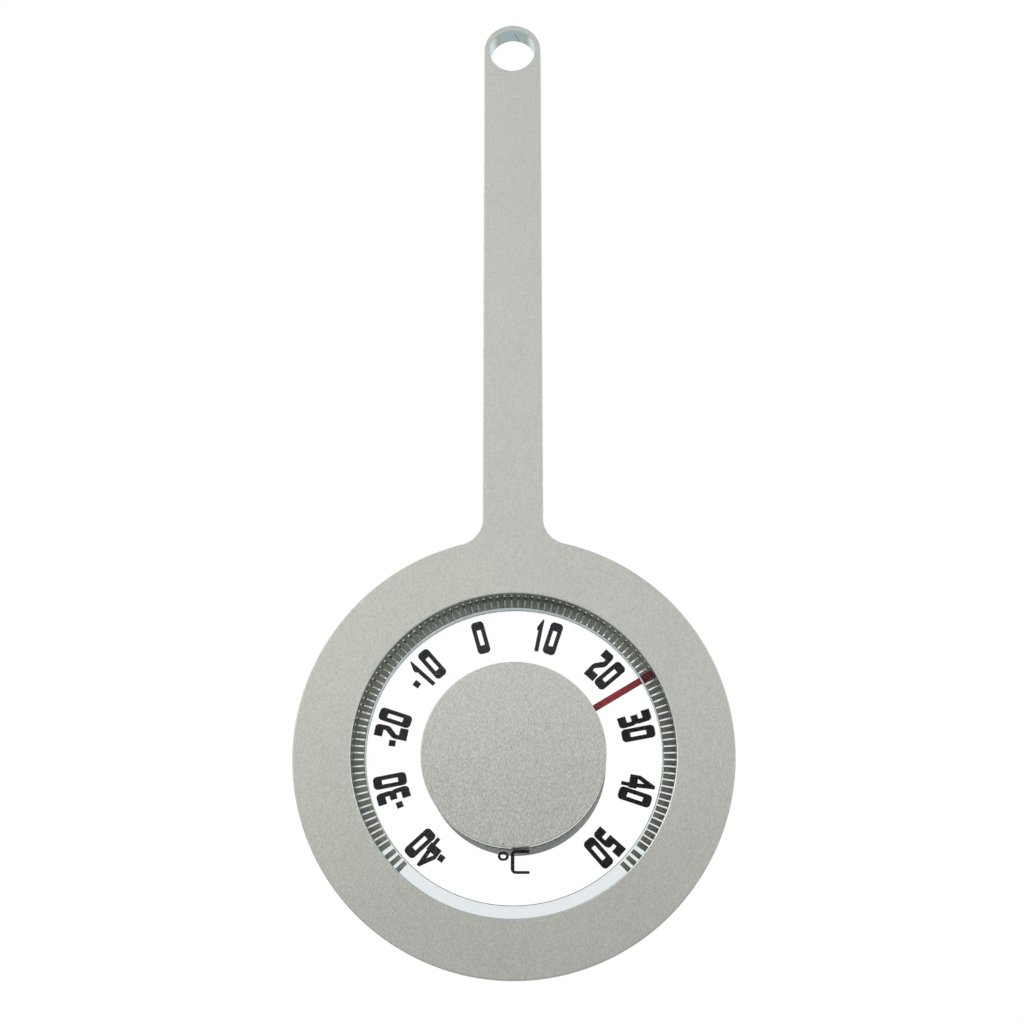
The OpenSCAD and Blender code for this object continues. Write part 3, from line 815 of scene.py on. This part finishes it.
@dataclass(frozen=True)
class ClearPlastic:
    """Clear cast plastic that lets the lamps through, with a tinted rim.

    The line is painted shade: a dark ring on the front of the rim, just outside its inner edge, where that
    edge looks dark.
    """

    name: str
    rim_tint: Colour
    tint: Colour = WHITE
    rim_radius: float = 37.2
    fade: float = 0.05
    index: float = 1.49
    sheen: float = 0.2
    film_start: float = 0.6
    film_roughness: float = 0.015
    shadow: Colour = (0.9, 0.92, 0.92)
    painted_shade_width: float = 0.0
    painted_shade_fade: float = 0.04
    painted_shade_depth: tuple[float, float] = (2.8, 2.6)
    painted_shade_colour: Colour = (0.05, 0.05, 0.045)

    def build(self) -> bpy.types.Material:
        """Builds the material."""
        material, t, shader, output = new_material(self.name)
        radius = t.radius()
        rim = t.ramp(radius, (self.rim_radius - self.fade) * MM, (self.rim_radius + self.fade) * MM)
        film = place_group(t, GROUPS.film(), Scale=1.0).outputs["Mask"]
        colour = t.mix(rim, (*self.tint, 1), (*self.rim_tint, 1))
        # Painted shade: a dark ring on the rim's front, just outside its inner edge.
        if self.painted_shade_width:
            depths = ((depth - PLATE_HALF) * MM for depth in self.painted_shade_depth)
            front = t.ramp(t.part(t.place(), "Y"), *depths)
            outer = self.rim_radius + self.painted_shade_width
            inside = t.ramp(radius, outer * MM, (outer - self.painted_shade_fade) * MM)
            line = t.math("MULTIPLY", t.math("MULTIPLY", front, rim), inside)
            colour = t.mix(line, colour, (*self.painted_shade_colour, 1))
        t.put(shader.inputs["Base Color"], colour)
        rough = t.ramp(film, self.film_start, 1.0, 0.0, self.film_roughness)
        t.put(shader.inputs["Roughness"], rough)
        shader.inputs["Transmission Weight"].default_value = 1.0
        shader.inputs["IOR"].default_value = self.index
        shader.inputs["Specular Tint"].default_value = (self.sheen, self.sheen, self.sheen, 1)
        clear = t.node("ShaderNodeBsdfTransparent")
        clear.inputs[0].default_value = (*self.shadow, 1)
        both = t.node("ShaderNodeMixShader")
        t.put(both.inputs[0], t.node("ShaderNodeLightPath").outputs["Is Shadow Ray"])
        t.put(both.inputs[1], shader.outputs[0])
        t.put(both.inputs[2], clear.outputs[0])
        t.put(output.inputs[0], both.outputs[0])
        return material


@dataclass(frozen=True)
class FrostedPlastic:
    """Clear plastic with a machined, matt surface."""

    name: str
    colour: Colour
    roughness: float = 0.55
    clearness: float = 0.1
    marks: float = 0.2
    cloud: float = 0.1
    mark_depth: float = 0.00001

    def build(self) -> bpy.types.Material:
        """Builds the material."""
        material, t, shader, _ = new_material(self.name)
        turned = place_group(t, GROUPS.turned(), Marks=self.marks, Cloud=self.cloud)
        t.put(shader.inputs["Base Color"], t.brighten(self.colour, turned.outputs["Shade"]))
        shader.inputs["Roughness"].default_value = self.roughness
        shader.inputs["Transmission Weight"].default_value = self.clearness
        bump(t, shader, turned.outputs["Height"], self.mark_depth)
        return material


# Sub-assemblies


class PlateOutline(NamedTuple):
    """The plate's outline, point by point, with what lies inside each point."""

    points: np.ndarray
    normals: np.ndarray
    front: np.ndarray
    back: np.ndarray
    directions: np.ndarray
    border: np.ndarray


@dataclass
class HangingPlate:
    """The flat plate: ring, arm and round end with the hanging eye."""

    ring_radius: float = 55.0
    window_radius: float = 40.5
    thickness: float = 6.0
    arm_width: float = 15.5
    eye_radius: float = 6.25
    eye_rounding: float = 0.1
    fillet_radius: float = 7.0
    edge: float = 0.22
    edge_blasting: float = 0.1
    hole_blasting: float = 0.005
    window_rounding: float = 0.25
    lip: float = 4.0
    seat_radius: float = 43.9
    seat_rounding: float = 0.05
    margin: float = 0.5
    rounding_polish: float = 0.5
    ring_points: int = 200
    fillet_steps: int = 24
    arm_steps: int = 60
    neck_steps: int = 24
    cap_steps: int = 40
    # Painted light: the window wall is lighter towards the top of the window.
    wall: TurnedMetal = TurnedMetal(
        "machined window wall", srgb(122, 122, 110), roughness=0.32, marks=0.2, cloud=0.2, painted_top_shading=2.4)
    # The plate's face has painted shade: darker towards the bottom of the ring.
    finish: SatinSteel = SatinSteel(
        "satin plate", srgb(204, 203, 194), srgb(218, 232, 232),
        stains=((7.85, 0.0, 104.8, 0.3), (-9.4, 0.3, -39.45, 0.3), (-5.4, 0.3, -40.3, 0.22),
                (-0.1, 0.3, -40.5, 0.2)),
        scratch=((0.64, 2.2, EYE_RISE + 6.22), (1.8, 5.5, EYE_RISE + 5.98)))

    def half_outline(self) -> PlateOutline:
        """Works out the right half of the outline, from the bottom of the ring to the top of the eye.

        The ring is an arc about the dial's centre, the fillet an arc about a point outside the
        plate, the arm a straight line and the end an arc about the eye. Every outline point has an
        inner point: on the window for the ring and the fillet, on the centre line for the arm, and
        on the eye for the end. Its direction is seen from the centre of the window or the eye.

        Returns:
            The half outline. The border is that of each step to the next point.
        """
        half, reach = self.arm_width / 2, self.ring_radius + self.fillet_radius
        corner_x = half + self.fillet_radius
        corner = np.array([corner_x, np.sqrt(reach**2 - corner_x**2)])
        joint = np.arctan2(corner[1], corner[0])
        ring = np.linspace(-np.pi / 2, joint, self.ring_points)
        turn = np.linspace(joint + np.pi, np.pi, self.fillet_steps + 1)[1:]
        arm = np.linspace(corner[1], EYE_RISE - self.eye_radius, self.arm_steps + 1)[1:]
        neck = np.linspace(arm[-1], EYE_RISE, self.neck_steps + 1)[1:]
        cap = np.linspace(0, np.pi / 2, self.cap_steps + 1)[1:]

        def on(angles: np.ndarray) -> np.ndarray:
            """Returns unit vectors at the angles."""
            return np.stack([np.cos(angles), np.sin(angles)], -1)

        side = np.concatenate([arm, neck])
        outline = np.concatenate([
            self.ring_radius * on(ring), corner + self.fillet_radius * on(turn),
            np.stack([np.full(len(side), half), side], -1), [0, EYE_RISE] + half * on(cap)])
        normal = np.concatenate([on(ring), -on(turn), np.tile([1.0, 0.0], (len(side), 1)), on(cap)])
        direction = on(np.concatenate([
            ring, np.linspace(joint, np.pi / 2, len(turn) + 1)[1:], np.full(len(arm), -np.pi / 2),
            np.linspace(-np.pi / 2, 0, len(neck) + 1)[1:], cap]))
        border = np.repeat([Border.WINDOW, Border.CENTRE_LINE, Border.EYE],
                           [len(ring) + len(turn) - 1, len(arm), len(neck) + len(cap)])
        inner = []
        for edge in (self.window_radius + self.window_rounding, self.seat_radius):
            low, high = edge + self.margin, EYE_RISE - self.eye_radius - self.margin
            rise = low + (high - low) * np.linspace(0, 1, len(arm) + 1)[1:]
            inner.append(np.concatenate([
                low * direction[: len(ring) + len(turn)], np.stack([np.zeros(len(arm)), rise], -1),
                [0, EYE_RISE] + (self.eye_radius + self.margin) * direction[-len(neck) - len(cap):]]))
        return PlateOutline(outline, normal, inner[0], inner[1], direction, border)

    def whole_outline(self) -> PlateOutline:
        """Joins the half outline and its mirror image.

        Returns:
            The whole outline, once round.
        """
        *halves, border = self.half_outline()
        flip = np.array([-1.0, 1.0])
        whole = [np.concatenate([a, (a * flip)[::-1][1:-1]]) for a in halves]
        return PlateOutline(*whole, np.concatenate([border, border[::-1]]))

    def is_wall(self, radius: np.ndarray, depth: np.ndarray) -> np.ndarray:
        """Tells which faces are the machined wall of the window and its seat."""
        inner, outer = self.window_radius - WALL_REACH, self.seat_radius + WALL_REACH
        front, back = self.window_rounding + FLAT_REACH, self.thickness - FLAT_REACH
        return (radius > inner) & (radius < outer) & (depth > front) & (depth < back)

    def build(self) -> None:
        """Builds the plate from a rounded edge band, two faces, and the walls of window and eye."""
        line = self.whole_outline()
        t, margin, count = self.thickness, self.margin, len(line.points)
        band = filleted([
            (-margin, 0, 0), (0, 0, self.edge), (0, t, self.edge), (-margin, t, 0)], steps=5, margin=0.06)
        inset, depth = band.T
        rim = line.points[None] + line.normals[None] * inset[:, None, None]
        grids = [(sheet_points(rim, depth[:, None]), grid_quads(len(band), count))]
        blasted = self.edge_blasting
        polish = [np.repeat(((depth > blasted) & (depth < t - blasted)).astype(float), count)]
        for inner, level, row in ((line.front, 0.0, rim[0]), (line.back, t, rim[-1])):
            grids.append((sheet_points(np.stack([inner, row]), level), grid_quads(2, count)))
            polish.append(np.zeros(2 * count))
        opening, soft = self.window_radius, self.window_rounding
        seat, crisp = self.seat_radius, self.seat_rounding
        window = filleted([
            (opening + soft + margin, 0, 0), (opening, 0, soft), (opening, self.lip, crisp),
            (seat, self.lip, crisp), (seat, t, crisp), (seat + margin, t, 0)], steps=6, margin=0.03)
        hole, turned = self.eye_radius, self.eye_rounding
        eye = filleted([
            (hole + margin, 0, 0), (hole, 0, turned), (hole, t, turned), (hole + margin, t, 0)],
            steps=5, margin=0.04)
        walls = ((Border.WINDOW, window, [0.0, 0.0], self.rounding_polish),
                 (Border.EYE, eye, [0.0, EYE_RISE], 1.0))
        for which, profile, centre, smooth in walls:
            radius, depth = profile.T
            wall = np.array(centre) + line.directions[None] * radius[:, None, None]
            quads = grid_quads(len(profile), count).reshape(len(profile) - 1, -1, 4)
            quads = quads[:, line.border == which].reshape(-1, 4)
            grids.append((sheet_points(wall, depth[:, None]), quads))
            polish.append(np.repeat(np.where(depth > self.hole_blasting, smooth, 0.0), count))
        build_piece("hanging_plate", grids, self.finish.build(), Body.CASE, "frame_plate",
                    np.concatenate(polish), Patch(self.is_wall, self.wall.build()))


class Gasket(NamedTuple):
    """A flat rubber ring: its node, its radii and its front and back depths."""

    node: str
    inner: float
    outer: float
    front: float
    back: float


@dataclass
class DialStack:
    """The clear cover, the dial with its printing, the gaskets and the knob."""

    disc_radius: float = 43.85
    rim_outer: float = 40.45
    rim_inner: float = 37.2
    rim_front: float = 2.4
    web_front: float = 5.5
    web_back: float = 6.9
    rim_wall_back: float = 5.4
    flange_front: float = 4.4
    cover_segments: int = 480
    knob_radius: float = 23.2
    knob_front: float = 2.2
    knob_back: float = 5.2
    knob_blasting: float = 0.06
    seat_gap: float = 0.02
    gasket_rounding: float = 0.08
    gaskets: tuple[Gasket, ...] = (
        Gasket("front_gasket", 40.7, 43.85, 4.0, 4.4), Gasket("rear_gasket", 40.75, 43.85, 10.4, 10.8),
        Gasket("housing_gasket", 22.0, 23.2, 10.4, 10.8))
    # The cover carries a painted dark line of shade at the rim's inner edge.
    cover: ClearPlastic = ClearPlastic("clear cover", srgb(228, 233, 236), painted_shade_width=0.2)
    dial: ClearPlastic = ClearPlastic("clear dial", WHITE)
    frosted: FrostedPlastic = FrostedPlastic("frosted rim wall", srgb(238, 249, 253))
    # The knob's face has painted shade: darker towards its bottom.
    knob: SatinSteel = SatinSteel(
        "satin knob", srgb(206, 206, 198), srgb(214, 219, 218), edge_roughness=0.2, grain=1.12,
        painted_shade_heights=(-23.2, 23.2), painted_low_shade=0.88, grain_heights=(-23.2, 23.2), high_grain=0.65,
        stains=((-2.47, 2.2, -22.35, 0.25),))
    # Both inks have painted light towards the left and the top of the dial.
    black_ink: Lacquer = Lacquer(
        "black print", srgb(12, 14, 16), roughness=0.55, mottle=0.08, depth=0.000002, specular=0.05,
        painted_light_left=3.5, painted_light_top=5.0)
    olive_ink: Lacquer = Lacquer(
        "tick print", srgb(130, 129, 113), roughness=0.6, mottle=0.12, depth=0.000004, specular=0.2,
        painted_light_left=0.88, painted_light_top=0.98)
    rubber: Lacquer = Lacquer("gasket rubber", srgb(205, 208, 202), roughness=0.8, mottle=0.15)
    foam: Lacquer = Lacquer("adhesive foam", srgb(214, 214, 208), roughness=0.9, mottle=0.1)
    spacer: TurnedMetal = TurnedMetal("spacer metal", srgb(200, 202, 200), roughness=0.4)

    def build(self) -> None:
        """Builds cover, knob and gaskets, and dresses the dial, the printing and the spacer."""
        self.build_cover()
        self.build_knob()
        dress(self.dial.build(), "dial_plate")
        dress(self.black_ink.build(), "numerals", "unit_mark")
        dress(self.olive_ink.build(), "tick_band")
        self.build_gaskets()
        dress(self.foam.build(), "knob_pad")
        dress(self.spacer.build(), "spacer_ring")

    def is_rim_wall(self, radius: np.ndarray, depth: np.ndarray) -> np.ndarray:
        """Tells which faces are the inner wall of the cover's rim."""
        return (np.abs(radius - self.rim_inner) < WALL_REACH) & (depth < self.rim_wall_back)

    def build_cover(self) -> None:
        """Turns the cover: a thin web, a raised rim that fills the window, and a flange."""
        profile = filleted([
            (0, self.web_front, 0), (self.rim_inner, self.web_front, 0.1),
            (self.rim_inner, self.rim_front, 0.06), (self.rim_outer, self.rim_front, 0.1),
            (self.rim_outer, self.flange_front, 0.05), (self.disc_radius, self.flange_front, 0.1),
            (self.disc_radius, self.web_back, 0.1), (0, self.web_back, 0)], steps=6, margin=0.03)
        wall = Patch(self.is_rim_wall, self.frosted.build())
        build_piece("cover_lens", [lathe(profile, segments=self.cover_segments)], self.cover.build(),
                    Body.CASE, "clear_cover", patch=wall)

    def build_knob(self) -> None:
        """Turns the knob, a flat disc with softened edges. Only its face is blasted."""
        profile = filleted([
            (0, self.knob_front, 0), (self.knob_radius, self.knob_front, 0.2),
            (self.knob_radius, self.knob_back, 0.1), (0, self.knob_back, 0)], steps=6, margin=0.05)
        points, quads = lathe(profile)
        polish = (points[:, 1] > self.knob_front + self.knob_blasting).astype(float)
        build_piece("centre_knob", [(points, quads)], self.knob.build(), Body.CASE, "front_knob",
                    polish)

    def build_gaskets(self) -> None:
        """Turns the gaskets. A small seat gap keeps their faces off the clear discs."""
        rubber = self.rubber.build()
        for node, inner, outer, front, back in self.gaskets:
            front, back, soft = front + self.seat_gap, back - self.seat_gap, self.gasket_rounding
            profile = filleted([
                (inner, front, soft), (outer, front, soft), (outer, back, soft), (inner, back, soft)],
                steps=4, margin=0.03, closed=True)
            build_piece(f"{node}_ring", [lathe(profile, closed=True)], rubber, Body.CASE, node)


@dataclass
class Pointer:
    """The red pointer: a strip with a round hub and a round counterweight."""

    width: float = 1.7
    front: float = 7.4
    thickness: float = 0.4
    tip: float = 41.0
    hub_radius: float = 3.5
    tail: float = 15.5
    weight_radius: float = 5.0
    rest_angle: float = 30.6
    edge: float = 0.06
    circle_steps: int = 40
    least_half: float = 0.02
    finish: Lacquer = Lacquer("pointer red", srgb(140, 42, 49), roughness=0.45, mottle=0.12, specular=0.1)

    def build(self) -> None:
        """Builds the pointer as a rounded section carried along its length.

        The half width at a distance s is the largest of the strip's, the hub's circle and the
        counterweight's circle. The section is a rectangle with rounded corners.
        """
        a = np.linspace(0, np.pi, self.circle_steps + 1)
        stations = np.unique(np.concatenate([
            -self.tail - self.weight_radius * np.cos(a), -self.hub_radius * np.cos(a),
            [self.tip - self.edge, self.tip - self.edge / 2, self.tip]]).round(5))

        def circle(centre: float, radius: float) -> np.ndarray:
            """Returns the half width of a circle at each station."""
            return np.sqrt(np.clip(radius**2 - (stations - centre) ** 2, 0, None))

        half = np.maximum(circle(0, self.hub_radius), circle(-self.tail, self.weight_radius))
        half = np.where(stations > -self.tail, np.maximum(half, self.width / 2), half)
        half = np.maximum(half, self.least_half)
        e, back = self.edge, self.front + self.thickness
        depth = np.array([self.front, self.front, self.front + e, back - e, back, back])
        inset = np.array([3 * e, e, 0, 0, e, 3 * e])
        across = np.clip(half[:, None] - inset[None], 0, None)
        flat = np.concatenate([across, -across[:, ::-1]], axis=1)
        depths = np.broadcast_to(np.concatenate([depth, depth[::-1]]), flat.shape)
        s = np.broadcast_to(stations[:, None], flat.shape)
        middle = (self.front + back) / 2
        flat = np.concatenate([flat[:1] * 0, flat, flat[-1:] * 0])
        depths = np.concatenate([depths[:1] * 0 + middle, depths, depths[-1:] * 0 + middle])
        s = np.concatenate([s[:1], s, s[-1:]])
        c, n = np.cos(np.radians(self.rest_angle)), np.sin(np.radians(self.rest_angle))
        points = np.stack([s * c - flat * n, depths, s * n + flat * c], -1).reshape(-1, 3)
        build_piece("red_pointer", [(points, grid_quads(*s.shape))], self.finish.build(), Body.POINTER,
                    "pointer")


@dataclass
class RearHousing:
    """The rear ring with its screws, and the round housing of the movement."""

    seat_radius: float = 43.9
    plate: float = 6.0
    flange_radius: float = 49.5
    flange_back: float = 12.0
    tube_outer: float = 43.0
    tube_inner: float = 40.65
    tube_back: float = 19.5
    bore_ends: tuple[float, float] = (11.1, 19.1)
    ring_seat: float = 10.8
    housing_outer: float = 23.2
    housing_inner: float = 22.0
    housing_back: float = 23.2
    screw_circle: float = 46.7
    screw_count: int = 6
    screw_turn: float = 0.7
    shank_radius: float = 1.25
    shank_reach: float = 3.6
    head_radius: float = 2.1
    head_height: float = 1.6
    socket_radius: float = 1.05
    socket_land: float = 0.35
    socket_steps: int = 72
    steel: TurnedMetal = TurnedMetal(
        "turned housing steel", srgb(130, 136, 128), roughness=0.38, marks=0.3, cloud=0.3)
    # Painted shade: the bore is darker towards the top of the dial, where the ring shades it.
    bore_steel: TurnedMetal = TurnedMetal(
        "bright bored steel", srgb(238, 239, 235), roughness=0.12, marks=0.1, cloud=0.1, painted_top_shading=0.45)
    screw_steel: TurnedMetal = TurnedMetal(
        "screw steel", srgb(176, 178, 180), roughness=0.3, marks=0.1, cloud=0.2)

    def is_bore(self, radius: np.ndarray, depth: np.ndarray) -> np.ndarray:
        """Tells which faces are the bright bore of the rear ring."""
        front, back = self.bore_ends
        return (radius < self.tube_inner + WALL_REACH) & (depth > front) & (depth < back)

    def build(self) -> None:
        """Builds the ring, the housing and the screws, and dresses the rear cover."""
        steel, screw_steel = self.steel.build(), self.screw_steel.build()
        ring = filleted([
            (self.seat_radius, self.plate, 0.05), (self.flange_radius, self.plate, 0.1),
            (self.flange_radius, self.flange_back, 0.5), (self.tube_outer, self.flange_back, 0.8),
            (self.tube_outer, self.tube_back, 0.4), (self.tube_inner, self.tube_back, 0.3),
            (self.tube_inner, self.ring_seat, 0.05), (self.seat_radius, self.ring_seat, 0.05)],
            steps=6, margin=0.05, closed=True)
        build_piece("rear_clamp_ring", [lathe(ring, closed=True)], steel, Body.CASE, "rear_ring",
                    patch=Patch(self.is_bore, self.bore_steel.build()))
        tube = filleted([
            (self.housing_inner, self.ring_seat, 0.05), (self.housing_outer, self.ring_seat, 0.2),
            (self.housing_outer, self.housing_back, 0.15), (self.housing_inner, self.housing_back, 0.05)],
            steps=5, margin=0.05, closed=True)
        build_piece("movement_housing", [lathe(tube, closed=True)], steel, Body.CASE, "rear_housing")
        self.build_screws(screw_steel)
        dress(steel, "rear_cover")
        dress(screw_steel, "housing_screws", "cover_screws", "bridge_screws")

    def build_screws(self, finish: bpy.types.Material) -> None:
        """Builds the screws of the rear ring with hexagon sockets.

        The head is a turned profile. Inside the socket's edge the radius follows a hexagon: the
        apothem divided by the cosine of the angle from the nearest flat.

        Args:
            finish: Material of the screws.
        """
        foot, top = self.plate - self.shank_reach, self.flange_back + self.head_height
        outer = filleted([
            (0, foot, 0), (self.shank_radius, foot, 0.2), (self.shank_radius, self.flange_back, 0.05),
            (self.head_radius, self.flange_back, 0.05), (self.head_radius, top, 0.25),
            (self.socket_radius + self.socket_land, top, 0)], steps=5, margin=0.04)
        a = np.linspace(0, 2 * np.pi, self.socket_steps, endpoint=False)
        hexagon = np.cos(np.pi / 6) / np.cos((a % (np.pi / 3)) - np.pi / 6)
        socket_share = np.array([1.12, 1.06, 1.0, 1.0, 0.97, 0.0])
        socket_depth = np.array([0, 0.02, 0.08, 0.95, 1.0, 1.0])
        radius = np.concatenate([
            np.broadcast_to(outer[:, :1], (len(outer), len(a))),
            hexagon[None] * self.socket_radius * socket_share[:, None]])
        depth = np.broadcast_to(np.concatenate([outer[:, 1], top - socket_depth])[:, None], radius.shape)
        spots = np.pi / 2 + (np.arange(self.screw_count) + 0.5) * 2 * np.pi / self.screw_count
        quads = grid_quads(*radius.shape)
        grids = []
        for k, spot in enumerate(spots):
            spun = a + self.screw_turn * k
            x = self.screw_circle * np.cos(spot) + radius * np.cos(spun)
            z = self.screw_circle * np.sin(spot) + radius * np.sin(spun)
            grids.append((np.stack([x, depth, z], -1).reshape(-1, 3), quads))
        build_piece("clamp_ring_screws", grids, finish, Body.CASE, "ring_screws")


@dataclass
class Movement:
    """The pieces inside the housing."""

    brass: TurnedMetal = TurnedMetal(
        "turned brass", srgb(214, 184, 120), roughness=0.32, marks=0.2, cloud=0.2)
    steel: TurnedMetal = TurnedMetal(
        "turned steel", srgb(190, 192, 194), roughness=0.3, marks=0.15, cloud=0.15)
    strip: TurnedMetal = TurnedMetal(
        "bimetal strip", srgb(176, 160, 138), roughness=0.35, marks=0.1, cloud=0.3)

    def build(self) -> None:
        """Dresses the frame's own nodes."""
        dress(self.brass.build(), "pointer_hub", "front_bush", "movement_plate", "pillars", "bridge",
              "coil_collet", "anchor_plate", "rear_bush", "adjuster_head")
        dress(self.steel.build(), "arbor", "anchor_post", "friction_washer", "sleeve_clip")
        dress(self.strip.build(), "bimetal_coil")


# Studio


@dataclass(frozen=True)
class Lamp:
    """A square lamp of a given side, in metres, and power, in watts, that points at the dial."""

    name: str
    place: Point
    watts: float
    side: float = 1.0
    target: Point = (0.0, 0.0, -0.13)

    def build(self) -> None:
        """Hangs the lamp."""
        light = bpy.data.lights.new(self.name, "AREA")
        light.shape, light.size, light.energy = "SQUARE", self.side, self.watts
        holder = bpy.data.objects.new(self.name, light)
        bpy.context.scene.collection.objects.link(holder)
        aim = Vector(self.target) - Vector(self.place)
        holder.location = self.place
        holder.rotation_mode = "QUATERNION"
        holder.rotation_quaternion = aim.to_track_quat("-Z", "Y")


@dataclass
class Studio:
    """The camera, the lamps, the pale floor and the white surroundings.

    The shines are what metal mirrors: the surroundings from low to high to the very top, and the
    floor. The heights are the Z of the mirrored direction between which one shine passes into the
    next.
    """

    camera_at: Point = (0.01732, -0.46769, -0.26659)
    right: Point = (0.9993, 0.0374, 0.0)
    up: Point = (0.0103, -0.2763, 0.9610)
    forward: Point = (-0.0359, 0.9603, 0.2765)
    lens: float = 66.19
    sensor: float = 36.0
    clip: tuple[float, float] = (0.01, 20.0)
    roll: float = -0.00106
    pan: float = 0.00026
    floor_height: float = -1.1
    floor_half: float = 6.0
    floor_cloud: Noise = Noise(3.0, 3.0, 0.5)
    floor_pale: tuple[Colour, Colour] = ((0.86, 0.86, 0.855), (0.9, 0.9, 0.895))
    floor_roughness: float = 0.9
    room_light: float = 0.9
    shine_heights: tuple[float, float] = (-0.2, 0.25)
    top_heights: tuple[float, float] = (0.35, 0.6)
    top_shine: Colour = (0.6, 0.68, 0.73)
    floor_shine: Colour = (0.5, 0.53, 0.54)
    low_shine: Colour = (0.42, 0.4, 0.35)
    high_shine: Colour = (0.84, 0.85, 0.88)
    lamps: tuple[Lamp, ...] = (
        Lamp("key", (-1.2, -1.2, 0.6), 10.0), Lamp("fill", (1.4, -1.1, 0.25), 5.0))

    def build(self) -> None:
        """Builds everything that isn't the object."""
        self.build_camera()
        self.build_world()
        self.build_floor()
        for lamp in self.lamps:
            lamp.build()

    def build_camera(self) -> None:
        """Places the camera as the photograph was taken.

        Its axes are the nearest right-angled ones to the measured directions, then turned by the
        small roll and pan.
        """
        camera = bpy.data.cameras.new("camera")
        camera.lens, camera.sensor_width, camera.sensor_fit = self.lens, self.sensor, "HORIZONTAL"
        camera.clip_start, camera.clip_end = self.clip
        holder = bpy.data.objects.new("camera", camera)
        bpy.context.scene.collection.objects.link(holder)
        measured = np.array([self.right, self.up, [-x for x in self.forward]]).T
        axes, _ = np.linalg.qr(measured)
        axes *= np.sign((axes * measured).sum(0))
        axes = axes @ np.array(Matrix.Rotation(self.roll, 3, "Z"))
        axes = axes @ np.array(Matrix.Rotation(self.pan, 3, "Y"))
        rows = [[*axes[i], self.camera_at[i]] for i in range(3)]
        holder.matrix_world = Matrix(rows + [[0, 0, 0, 1]])
        bpy.context.scene.camera = holder

    def build_world(self) -> None:
        """Builds surroundings that are white to the eye and shaded in reflections."""
        world = bpy.data.worlds.new("studio")
        bpy.context.scene.world = world
        world.use_nodes = True
        world.node_tree.nodes.clear()
        t = Tree(world.node_tree)
        rise = t.part(t.node("ShaderNodeTexCoord").outputs["Generated"], "Z")
        shine = t.mix(t.ramp(rise, *self.shine_heights), (*self.low_shine, 1), (*self.high_shine, 1))
        shine = t.mix(t.ramp(rise, *self.top_heights), shine, (*self.top_shine, 1))
        path = t.node("ShaderNodeLightPath").outputs
        seen = t.math("MAXIMUM", path["Is Camera Ray"], path["Is Transmission Ray"])
        room = (self.room_light, self.room_light, self.room_light, 1)
        light = t.mix(seen, t.mix(path["Is Glossy Ray"], room, shine), (1, 1, 1, 1))
        background = t.node("ShaderNodeBackground")
        t.put(background.inputs["Color"], light)
        output = t.node("ShaderNodeOutputWorld")
        t.put(output.inputs[0], background.outputs[0])

    def build_floor(self) -> None:
        """Lays a pale floor well below the object. Metal mirrors it as the floor shine."""
        mesh = bpy.data.meshes.new("floor")
        s, z = self.floor_half, self.floor_height
        mesh.from_pydata([(-s, -s, z), (s, -s, z), (s, s, z), (-s, s, z)], [], [(0, 1, 2, 3)])
        floor = bpy.data.objects.new("floor", mesh)
        bpy.context.scene.collection.objects.link(floor)
        material, t, shader, _ = new_material("pale floor")
        pale = t.mix(t.noise(t.place(), self.floor_cloud), *((*c, 1) for c in self.floor_pale))
        mirrored = t.node("ShaderNodeLightPath").outputs["Is Glossy Ray"]
        t.put(shader.inputs["Base Color"], t.mix(mirrored, pale, (*self.floor_shine, 1)))
        shader.inputs["Roughness"].default_value = self.floor_roughness
        mesh.materials.append(material)


def main() -> None:
    """Builds the scene in order."""
    logging.basicConfig(level=logging.INFO, format="%(name)s: %(message)s")
    bpy.context.scene.view_settings.view_transform = "Standard"
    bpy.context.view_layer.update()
    for assembly in (Studio(), HangingPlate(), DialStack(), Pointer(), RearHousing(), Movement()):
        assembly.build()
        LOG.info("%s done", type(assembly).__name__)


if __name__ == "__main__":
    main()
